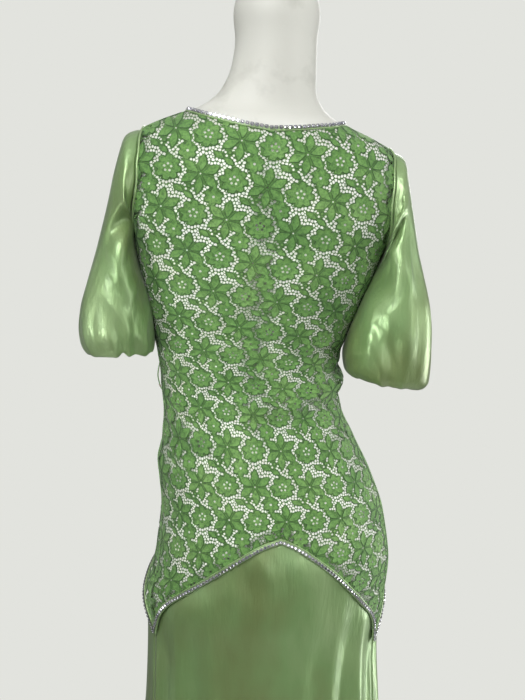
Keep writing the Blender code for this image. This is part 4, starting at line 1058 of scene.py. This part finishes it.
def chain(kind, stones, materials):
    """The row of crystals over a binding, at an even pitch."""
    edge, inward, out, closed = strip_path(kind)
    if closed:
        out = unit(out * (1, 1, 0.3))
    path = edge + inward * stones["inward"] + out * STONE_LIFT
    count = round(lengths_along(looped(path, closed))[-1] / stones["pitch"])
    path, out, ahead = evenly(count, closed, path, out, ahead_along(path, closed, 3))
    out, ahead = unit(out), unit(ahead)
    aside = unit(np.cross(out, ahead))
    ahead = np.cross(aside, out)
    shape, faces, slots = stone_shape()
    rng = np.random.default_rng(5)
    row = []
    for k in range(count):
        size = stones["scale"] * (END_STONE if not closed and k in (0, count - 1) else 1.0)
        x, y, z = (shape * size).T[..., None]
        tilt = rng.normal(0, STONE_TILT, 2)
        up = unit(out[k] + aside[k] * tilt[0] + ahead[k] * tilt[1])
        row.append((path[k] + x * ahead[k] + y * aside[k] + z * up, faces))
    points, faces, _ = merged(row)
    name, slots = f"chain_{kind}", slots * count
    return made(f"{name}_crystals", points, faces, materials, "crystal", [name], slots, flat=True)


def piping(side, name, material):
    """The satin piping round an armhole."""
    loop = np.concatenate([armhole_half("back", 60), armhole_half("front", 60)[-2:0:-1]])
    millimetres = np.array([MM_PER_ARM_DEGREE, 1])
    loop = loop + unit((loop - (90, ARMHOLE_MIDDLE)) * millimetres) * PIPING["off"] / millimetres
    path, out = on_lace(side * loop[:, 0], loop[:, 1], LACE_LIFT + PIPING["lift"])
    points, faces = tube(path, PIPING["radius"], PIPING["sides"], out, True)
    return made(f"{name}_satin", points, faces, [material], "satin", [name])


def seam(name, angle, height, material):
    """A narrow sewn seam over a line of angles and heights, with its stitches."""
    path, out = on_lace(angle, height, LACE_LIFT + SEAM["lift"])
    path, out = evenly(int(lengths_along(path)[-1] / SEAM["stitch"]), False, path, out)
    swell = SEAM["radius"] + SEAM["swell"] * np.cos(np.arange(len(path)) * math.pi)
    return made(name, *tube(path, swell, SEAM["sides"], unit(out)), [material], "thread")


def belt_loop(materials):
    """The loop of twisted thread at the left of the waist, with a few turns of another thread round it."""
    share = np.linspace(0, 1, LOOP["steps"])
    lift = LACE_LIFT + LOOP["lift"] + LOOP["bulge"] * np.sin(np.pi * share)
    path, out = on_lace(LOOP["angle"], LOOP["low"] + LOOP["length"] * share, lift[:, None])
    ahead = unit(np.gradient(path, axis=0))
    aside = np.cross(ahead, out)
    shapes = []
    for strand in range(STRANDS["count"]):
        turn = share * STRANDS["twist"] + strand * 2 * math.pi / STRANDS["count"]
        line = path + STRANDS["from_middle"] * (np.cos(turn)[:, None] * out + np.sin(turn)[:, None] * aside)
        shapes.append(tube(line, STRANDS["radius"], STRANDS["sides"], out))
    at, steps, reach = KNOT["at"], KNOT["steps"], KNOT["half_width"]
    turn = np.linspace(0, 4 * math.pi, steps)
    wind = path[at] + out[at] * KNOT["lift"]
    wind = wind + KNOT["from_middle"] * (np.cos(turn)[:, None] * out[at] + np.sin(turn)[:, None] * aside[at])
    wind += ahead[at] * np.linspace(-reach, reach, steps)[:, None]
    shapes.append(tube(wind, KNOT["radius"], KNOT["sides"], np.tile(ahead[at], (steps, 1))))
    points, faces, numbers = merged(shapes)
    slots = [int(number == STRANDS["count"]) for number in numbers]
    return made("belt_loop_thread", points, faces, materials, "thread", ["belt_loop_left"], slots)


# The sleeves

# For each ring of a sleeve: its share of the way down, its outer and inner point, and its middle and half
# size from front to back
SLEEVE_COLUMNS = "share outer_x outer_z inner_x inner_z mid_y half_y"
SLEEVES = {
    "left": table(
        SLEEVE_COLUMNS,
        (0.07, 195, 1389, 186, 1245, 13, 58), (0.20, 207, 1350, 178, 1231, 14, 61),
        (0.36, 219, 1290, 172, 1214, 17, 65), (0.50, 232, 1235, 164, 1194, 20, 68),
        (0.64, 246, 1182, 158, 1166, 21, 70), (0.78, 256, 1133, 154, 1130, 22, 70),
        (0.88, 253, 1104, 152, 1107, 22, 66), (0.94, 242, 1090, 155, 1094, 22, 58),
        (0.97, 236, 1091, 162, 1095, 22, 52), (1.00, 234, 1098, 165, 1102, 22, 49),
    ),
    "right": table(
        SLEEVE_COLUMNS,
        (0.07, 187, 1369, 163, 1231, 13, 58), (0.20, 193, 1337, 155, 1216, 15, 61),
        (0.36, 201, 1290, 147, 1202, 19, 65), (0.50, 210, 1238, 138, 1188, 23, 69),
        (0.64, 221, 1187, 128, 1160, 25, 72), (0.78, 231, 1135, 118, 1126, 26, 73),
        (0.88, 234, 1085, 112, 1090, 26, 70), (0.94, 232, 1055, 117, 1068, 26, 60),
        (0.97, 223, 1048, 130, 1059, 26, 49), (1.00, 214, 1056, 138, 1066, 26, 44),
    ),
}
SLEEVE_RINGS = (0, 0.07, 0.14, 0.23, 0.33, 0.43, 0.53, 0.63, 0.72, 0.80, 0.87, 0.93, 0.97, 1)
SLEEVE_ARM_STEPS = 72
SLEEVE_ROWS = np.concatenate([np.linspace(0, 0.85, 58)[:-1], np.linspace(0.85, 1, 26)])
SLEEVE_SEAM = 0.3
SLEEVE_BESIDE = 3.2  # from the bodice to the sleeve beside it
BODICE_SIDE = np.arange(160.0, 19.0, -2.0)
SLEEVE_SQUARE = 2.2
SLEEVE_ROUNDING = {"rows": 18, "passes": 8}  # the sleeve's head turns over smoothly
SLEEVE_GATHERS = {"count": 9, "rise": 0.6, "start": 0.8}
SLEEVE_PLEATS = {"count": 17, "rise": 0.6, "start": 0.8}
SLEEVE_CROWN = {"count": 47, "rise": 0.35, "middle": 0.06, "half_width": 0.05}  # the fine gathers at the head
# Folds of the sleeves, each a row of turn (0 outer, 90 back, 180 inner) and percent of the way down at its
# two ends, half width and rise. These stand out of the sleeve, or into it if the rise is below 0.
SLEEVE_FOLDS = {
    "left": [
        (112, 2, 46, 34, 12, 4), (134, 8, 62, 47, 11, -5), (54, 50, 146, 82, 14, 7),
        (34, 62, 70, 88, 17, -6), (250, 30, 215, 70, 18, -6), (290, 40, 320, 75, 18, 4),
    ],
    "right": [
        (112, 14, 62, 24, 9, -5), (94, 8, 66, 16, 9, 3.5), (116, 24, 84, 48, 14, -6),
        (64, 28, 52, 64, 13, 4), (136, 46, 96, 66, 22, 7), (132, 76, 104, 84, 15, -5),
        (96, 84, 70, 94, 14, 4), (34, 58, 52, 86, 15, -5), (260, 28, 225, 66, 18, -6),
        (300, 42, 318, 78, 18, 4),
    ],
}
SLEEVE_CREASES = {
    "left": [
        (98, 16, 64, 32, 7, -2.5), (118, 34, 100, 52, 6, 2), (128, 50, 118, 66, 5, -2),
        (60, 68, 74, 90, 6, 1.8), (80, 74, 92, 97, 6, -3), (98, 74, 100, 97, 6, 2.6),
        (110, 76, 106, 96, 5, -2.2), (126, 72, 116, 96, 6, 2.2), (40, 78, 50, 96, 6, -2),
        (150, 70, 138, 94, 6, -2.4), (14, 50, 26, 86, 7, 1.8), (200, 60, 230, 92, 7, 2.4),
        (250, 66, 262, 94, 7, -2.4), (280, 70, 292, 94, 7, 2.2), (320, 64, 330, 94, 7, -2.2),
        (290, 20, 262, 52, 8, 2.4),
    ],
    "right": [
        (84, 20, 70, 32, 6, 2.2), (120, 28, 104, 44, 6, 2), (60, 40, 70, 62, 6, -2),
        (74, 72, 80, 96, 6, -2.4), (92, 76, 98, 97, 6, 2.4), (110, 76, 110, 96, 6, -2.4),
        (56, 68, 62, 94, 6, 2.2), (128, 66, 122, 94, 7, -2.4), (36, 76, 44, 96, 6, -2),
        (150, 70, 140, 94, 6, 2), (210, 60, 236, 92, 7, 2.4), (262, 66, 270, 94, 7, -2.4),
        (300, 66, 310, 94, 7, 2.2), (296, 18, 268, 50, 8, 2.4),
    ],
}
# These are upwards
SLEEVE_LIFTS = {
    "left": [(96, 88, 97, 108, 6, 5), (140, 88, 142, 108, 9, -2.5)],
    "right": [(150, 86, 152, 108, 30, 3)],
}
# These are towards the front, where the sleeve falls back from the armhole
SLEEVE_HOLLOWS = {
    "left": [
        (70, 22, 118, 12, 15, -9), (134, 8, 62, 42, 14, 26), (142, 18, 152, 60, 27, 42),
        (84, 62, 150, 84, 20, -7), (252, 30, 235, 66, 24, -12),
    ],
    "right": [
        (66, 20, 110, 12, 13, -6), (84, 24, 160, 36, 15, 20), (104, 40, 168, 52, 30, 15),
        (166, 50, 174, 76, 16, 14), (92, 88, 128, 70, 12, 9), (134, 84, 166, 84, 15, -6),
        (252, 30, 235, 66, 24, -12),
    ],
}
MM_PER_SLEEVE_DEGREE = 0.95
MM_PER_PERCENT = 3.0


def beside_figure(points, side):
    """A sleeve's points, moved out sideways to where they clear the bodice."""
    lean = np.tan(np.radians(read(FIGURE, "height", "lean", points[..., 2])))
    rings = figure(side * BODICE_SIDE, (points[..., 2] - lean * points[..., 0])[..., None])
    least = [
        np.interp(y, ring[:, 1], side * ring[:, 0], left=0, right=0)
        for y, ring in zip(points[:, 1], rings)
    ]
    moved = points.copy()
    moved[:, 0] = side * np.maximum(side * points[:, 0], np.array(least) + SLEEVE_BESIDE)
    return moved


def sleeve_rings(hand, turns):
    """The rings of a sleeve without its folds, from the armhole to the edge that is turned under."""
    side = 1 if hand == "left" else -1
    steps = SLEEVE_ARM_STEPS
    loop = np.concatenate([armhole_half("back", steps)[::-1], armhole_half("front", steps)[1:-1]])
    first, _ = on_lace(side * loop[:, 0], loop[:, 1], SLEEVE_SEAM)
    across, along = np.cos(np.radians(turns)), np.sin(np.radians(turns))
    radius = (np.abs(across) ** SLEEVE_SQUARE + np.abs(along) ** SLEEVE_SQUARE) ** (-1 / SLEEVE_SQUARE)
    rings = [first]
    for share in SLEEVE_RINGS[1:]:
        at = read_all(SLEEVES[hand], "share", share)
        outer = np.array([side * at["outer_x"], at["mid_y"], at["outer_z"]])
        inner = np.array([side * at["inner_x"], at["mid_y"], at["inner_z"]])
        gathered = np.clip((share - SLEEVE_GATHERS["start"]) / (1 - SLEEVE_GATHERS["start"]), 0, 1)
        waves = np.cos(np.radians(turns * SLEEVE_GATHERS["count"]))
        ripple = 1 + SLEEVE_GATHERS["rise"] * gathered * waves / at["half_y"]
        reach = (radius * ripple)[:, None]
        ring = (outer + inner) / 2 + (outer - inner) / 2 * across[:, None] * reach
        rings.append(ring + np.array([0, at["half_y"], 0]) * along[:, None] * reach)
    return rings


def sleeve_gathers(theta, shares):
    """The pleats at the sleeve's edge and the fine gathers at its head."""
    uneven = 1 + 0.45 * np.sin(3 * theta + 1) + 0.3 * np.sin(7 * theta)
    pleats = np.cos(SLEEVE_PLEATS["count"] * theta + 1.8 * np.sin(4 * theta)) * uneven
    start = SLEEVE_PLEATS["start"] + 0.06 * np.sin(5 * theta + 2)
    pull = np.clip((shares - start) / (1 - start), 0, 1) ** 1.5
    crown = np.cos(SLEEVE_CROWN["count"] * theta + 1.2 * np.sin(5 * theta))
    crown = crown * np.clip(np.cos(theta), 0, 1) ** 0.5
    near = np.exp(-(((shares - SLEEVE_CROWN["middle"]) / SLEEVE_CROWN["half_width"]) ** 2))
    return SLEEVE_PLEATS["rise"] * pleats * pull, SLEEVE_CROWN["rise"] * crown * near


def sleeve(hand, material):
    """A puffed satin sleeve, gathered and turned under at its edge."""
    side = 1 if hand == "left" else -1
    columns = 2 * SLEEVE_ARM_STEPS
    turns, shares = np.arange(columns) * 360 / columns, SLEEVE_ROWS
    middle = smooth(SLEEVE_RINGS, sleeve_rings(hand, turns), shares)
    for _ in range(SLEEVE_ROUNDING["passes"]):
        near = middle[: SLEEVE_ROUNDING["rows"]]
        near[1:-1] = (near[:-2] + 2 * near[1:-1] + near[2:]) / 4
    around = np.roll(middle, -1, axis=1) - np.roll(middle, 1, axis=1)
    out = unit(np.cross(around, np.gradient(middle, axis=0))) * side
    here = np.broadcast_arrays(turns[None, :], shares[:, None] * 100)

    def lifted(folds):
        return fold_rise(folds, *here, MM_PER_SLEEVE_DEGREE, MM_PER_PERCENT)

    folds = SLEEVE_FOLDS[hand] + SLEEVE_CREASES[hand]
    rise = lifted(folds + [(a + 360, p, b + 360, q, w, r) for a, p, b, q, w, r in folds])
    for gathers in sleeve_gathers(np.radians(turns), shares[:, None]):
        rise = rise + gathers
    middle = middle + out * rise[..., None]
    middle[..., 1] -= lifted(SLEEVE_HOLLOWS[hand]) * np.clip(shares[:, None] / 0.08, 0, 1)
    middle[..., 2] += lifted(SLEEVE_LIFTS[hand])
    middle[1:] = beside_figure(middle[1:].reshape(-1, 3), side).reshape(middle[1:].shape)
    faces = grid_faces(len(shares), columns, True)[:, ::side]
    nodes = [f"sleeve_{hand}_back", f"sleeve_{hand}_front"]
    return thickened(made(f"sleeve_{hand}_satin", middle.reshape(-1, 3), faces, [material], "satin", nodes))


# The skirt

SKIRT_SEAMS = {"back": (-72.0, 72.0), "front": (72.0, 288.0)}
SKIRT_ROWS, SKIRT_COLUMN = 110, 1.2
# The flutes, each a row of angle, the height where it starts, half width and rise
FLUTES = [
    (-2, 600, 12, 38), (27, 640, 11, 46), (57, 700, 10, 54), (89, 600, 12, 42), (119, 640, 11, 50),
    (151, 600, 12, 40), (181, 650, 12, 48), (-149, 620, 11, 42), (-117, 660, 11, 52), (-87, 610, 11, 40),
    (-58, 720, 9, 54), (-31, 680, 11, 44),
]
FLUTE_GROWTH = 1.4
FLUTE_TOP = 620.0
FLUTE_VALLEY = 20.0
# Small folds of the skirt under the lace, in rows like the lace's
SKIRT_CREASES = [
    (-22, 790, -20, 540, 10, 1.6), (-31, 770, -29, 540, 9, -1.6), (-41, 770, -39, 500, 8, 2.8),
    (-49, 745, -47, 500, 8, -3.6), (-58, 730, -56, 480, 8, 5.4), (-68, 700, -67, 480, 7, -5.4),
    (-77, 700, -77, 460, 8, 4.2), (36, 720, 38, 520, 9, 1.8), (46, 730, 47, 500, 9, -2.2),
    (56, 720, 56, 480, 8, 2.8), (64, 700, 64, 480, 8, -2.4), (73, 700, 72, 480, 8, 2.8),
    (4, 800, 12, 560, 16, 1.6), (-8, 760, -6, 560, 13, -1.4), (14, 838, 6, 800, 7, 1.6),
    (24, 822, 14, 776, 7, -1.6), (32, 806, 20, 752, 8, 1.5), (-12, 838, -6, 806, 7, 1.2),
    (96, 740, 97, 520, 10, -2.4), (112, 760, 114, 520, 11, 2.4), (130, 780, 128, 540, 12, -2),
    (150, 800, 152, 540, 12, 2.2), (176, 820, 172, 560, 12, -1.8), (-96, 740, -97, 500, 10, -2.4),
    (-112, 760, -113, 520, 11, 2.4), (-134, 790, -131, 540, 12, -2), (-156, 800, -158, 560, 12, 2),
]


def skirt_middle(angle, height):
    """The skirt: under the lace, with its creases, and flaring out in flutes below."""
    angle, height = np.broadcast_arrays(np.asarray(angle, float), np.asarray(height, float))
    fine = fold_rise(SKIRT_CREASES, wrap(angle), height, MM_PER_DEGREE)
    out = outward(figure, angle, height)
    rise = -FLUTE_VALLEY * np.clip((FLUTE_TOP - height) / FLUTE_TOP, 0, 1) ** FLUTE_GROWTH
    for flute, start, half_width, most in FLUTES:
        off = wrap(angle - flute) / half_width
        rise = rise + most * np.clip((start - height) / start, 0, 1) ** FLUTE_GROWTH * np.exp(-off * off)
    under = out * (fine - UNDER_LACE - SATIN_THICK / 2)[..., None]
    return figure(angle, height) + under + out * (1, 1, 0) * rise[..., None]


def skirt_panel(half, material):
    start, end = SKIRT_SEAMS[half]
    columns = int((end - start) / SKIRT_COLUMN) + 1
    angle = np.linspace(start, end, columns)[None, :]
    top = hem_height(angle) + HEM_OVERLAP
    height = FLOOR_CLEARANCE + (top - FLOOR_CLEARANCE) * np.linspace(1, 0, SKIRT_ROWS)[:, None]
    points = skirt_middle(angle, height).reshape(-1, 3)
    faces = grid_faces(SKIRT_ROWS, columns, False)
    return thickened(made(f"skirt_{half}_satin", points, faces, [material], "satin", [f"skirt_{half}"]))


# The dress form

FORM_GAPS = {"lace": 0.25, "skirt": 8.0, "neck": 0.0, "sleeve": 7}
FORM_LEVELS = np.concatenate([np.linspace(600, 1560, 220), np.linspace(1561, 1584.6, 20)])
FORM_ANGLES = np.arange(0, 360, 2.5)
FORM_TOP = 1584.0
FORM_PLATE = 176.0  # the flat plates over the form's armholes, from its middle
FORM_BEHIND_HOLLOWS = 1.2
# The hollow down the middle of the form's back
SPINE = {"depth": 6.0, "half_width": 9.0, "from": 960.0, "to": 1395.0}


def form_gap(turned, level):
    """How far the form stays back from the cloth."""
    under_skirt = np.clip((hem_height(turned) + 24 - level) / 12, 0, 1)
    over_neck = np.clip((level - 1420) / 30, 0, 1)
    gap = FORM_GAPS["lace"] + (FORM_GAPS["skirt"] - FORM_GAPS["lace"]) * under_skirt
    gap = gap + (FORM_GAPS["neck"] - FORM_GAPS["lace"]) * over_neck
    # where a sleeve covers it
    off = (np.abs(wrap(turned)) - 90) / (3 - ARMHOLE_SPAN["back"])
    rise = (level - ARMHOLE_MIDDLE) / (ARMHOLE_REACH + 8)
    gap = gap + FORM_GAPS["sleeve"] * np.clip((1.08 - np.hypot(off, rise)) / 0.2, 0, 1)
    # and behind the hollows between the lace's folds
    near = [(turned + a, level + b) for a in (-2, 0, 2) for b in (-4, 0, 4)]
    return gap + FORM_BEHIND_HOLLOWS * np.max([np.clip(-lace_rise(*there), 0, 9) for there in near], axis=0)


def dress_form(material):
    turned, level = np.broadcast_arrays(FORM_ANGLES[None, :], FORM_LEVELS[:, None])
    out = outward(figure, turned, np.minimum(level, FORM_TOP))
    point = figure(turned, level) - out * form_gap(turned, level)[..., None]
    share = np.clip((level - SPINE["from"]) / (SPINE["to"] - SPINE["from"]), 0, 1)
    near = np.exp(-((wrap(turned) / SPINE["half_width"]) ** 2))
    point[..., 1] -= SPINE["depth"] * np.sin(np.pi * share) * near
    middle = read(FIGURE, "height", "mid_x", level)
    point[..., 0] = np.clip(point[..., 0], middle - FORM_PLATE, middle + FORM_PLATE)
    points, faces = rod(point, False)
    return made("dress_form_shell", points, [f[::-1] for f in faces], [material], "form", ["dress_form"])


# Stage and light, in metres

FLOOR = {"radius": 1.15, "fade_from": 0.7, "fade_to": 1.14, "below": 0.0005}
BACKDROP = (0.761, 0.768, 0.730, 1)
SOFT_LIGHT = 0.6
SOFT_COLOURS = [
    (0.0, (0.10, 0.105, 0.09)), (0.4, (0.15, 0.155, 0.14)),
    (0.6, (0.34, 0.35, 0.33)), (1.0, (1.25, 1.26, 1.25)),
]
# Lamps: place, the place that they point at, width, height, watts, and the angle that they spread over
LAMPS = {
    "key": ((0.8, 2.0, 2.6), (0, 0, 1.1), 1.1, 0.9, 50, 180),
    "beside left": ((1.9, 1.3, 0.85), (-0.2, 0.05, 1.21), 0.5, 0.5, 0.36, 16),
    "behind the hips": ((-0.5, 2.5, 0.75), (0, 0.1, 0.68), 1.1, 0.8, 0.3, 26),
    "fill": ((-2.3, 1.9, 1.3), (0, 0, 0.9), 0.9, 1.6, 20, 180),
    "low right": ((-2.4, -0.2, 0.55), (0, 0, 0.85), 0.35, 1.7, 40, 180),
    "low left": ((2.4, -0.1, 0.7), (0, 0, 0.95), 0.4, 1.6, 4, 180),
    "front": ((-0.6, -2.6, 1.9), (0, 0, 0.9), 1.6, 1.4, 42, 180),
}


def made_floor():
    """A pale floor that fades out into the backdrop."""
    place = (0, 0, -FLOOR["below"])
    bpy.ops.mesh.primitive_circle_add(vertices=128, radius=FLOOR["radius"], fill_type="NGON", location=place)
    floor = bpy.context.object
    floor.name = "floor"
    material, tree, principled = shader("pale floor", Roughness=0.7, Base_Color=(0.55, 0.555, 0.53, 1))
    place = tree.nodes.new("ShaderNodeTexCoord")
    length = tree.nodes.new("ShaderNodeVectorMath")
    length.operation = "LENGTH"
    tree.links.new(place.outputs["Object"], length.inputs[0])
    fade = mapped(tree, length.outputs["Value"], FLOOR["fade_from"], FLOOR["fade_to"], 1.0, 0.0)
    clear = tree.nodes.new("ShaderNodeBsdfTransparent")
    mixed_shader(tree, fade, clear, principled, "Material Output")
    floor.data.materials.append(material)


def made_world():
    """A plain backdrop for the camera, and a soft light from above for everything else."""
    world = bpy.data.worlds.new("studio")
    bpy.context.scene.world = world
    world.use_nodes = True
    tree = world.node_tree
    seen, soft = tree.nodes["Background"], tree.nodes.new("ShaderNodeBackground")
    seen.inputs["Color"].default_value = BACKDROP
    seen.inputs["Strength"].default_value = 1.0
    soft.inputs["Strength"].default_value = SOFT_LIGHT
    up = mapped(tree, height_of(tree, "Generated"), -1.0, 1.0)
    tree.links.new(ramped(tree, up, SOFT_COLOURS), soft.inputs["Color"])
    camera = tree.nodes.new("ShaderNodeLightPath").outputs["Is Camera Ray"]
    mixed_shader(tree, camera, soft, seen, "World Output")


def made_lamps():
    for name, (place, target, wide, tall, watts, spread) in LAMPS.items():
        data = bpy.data.lights.new(name, "AREA")
        data.shape, data.size, data.size_y, data.energy = "RECTANGLE", wide, tall, watts
        data.spread = math.radians(spread)
        lamp = placed(name, data)
        lamp.location = place
        lamp.rotation_euler = (Vector(target) - Vector(place)).to_track_quat("-Z", "Y").to_euler()


def painted(name, material):
    """A CAD node that stays, with a better material."""
    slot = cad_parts[name].material_slots[0]
    slot.link = "OBJECT"
    slot.material = material


def main():
    bpy.context.scene.view_settings.view_transform = "Standard"
    made_camera()
    made_floor()
    made_world()
    made_lamps()
    lace = lace_material()
    satin = satin_material("satin", (0.18, 0.245, 0.08), (0.2, 0.335, 0.12), (0.31, 0.44, 0.2))
    trim = satin_material("binding satin", (0.26, 0.4, 0.16), (0.3, 0.44, 0.19), (0.35, 0.5, 0.24))
    # The cups' dark metal is partly their own colour and partly painted shade in the gaps between the stones
    stones = [metal_material("dark cup metal with painted shade", (0.34, 0.34, 0.36), 0.3), crystal_material()]
    steel, thread = metal_material("plain steel", (0.60, 0.60, 0.58), 0.38), thread_material()
    red = shader("red thread", Roughness=0.7, Base_Color=(0.35, 0.05, 0.03, 1))[0]

    repeat = Repeat()
    for half in ("back", "front"):
        cloth = lace_panel(half, repeat, lace)
        edge = [binding(f"hem_{half}", trim), chain(f"hem_{half}", HEM_STONES, stones)]
    binding("neck", trim)
    chain("neck", NECK_STONES, stones)
    for side, hand in ((1, "left"), (-1, "right")):
        piping(side, f"piping_{hand}", trim)
        low = float(hem_height(side * HEM_POINT_ANGLE)) + TIP_MITRE * 0.8
        levels = np.linspace(low, ARMHOLE_BOTTOM - 2, 120)
        seam(f"side_seam_{hand}", side * side_seam(levels), levels, thread)
        levels = np.linspace(ARMHOLE_TOP + 2, float(neck_height(90)) - 5, 20)
        seam(f"shoulder_seam_{hand}", side * 90.0, levels, thread)
        sleeve(hand, satin)
    belt_loop([thread, red])
    for half in ("back", "front"):
        skirt_panel(half, satin)
    dress_form(form_material())
    for name in ("stand_pole", "stand_base"):
        painted(name, steel)


main()
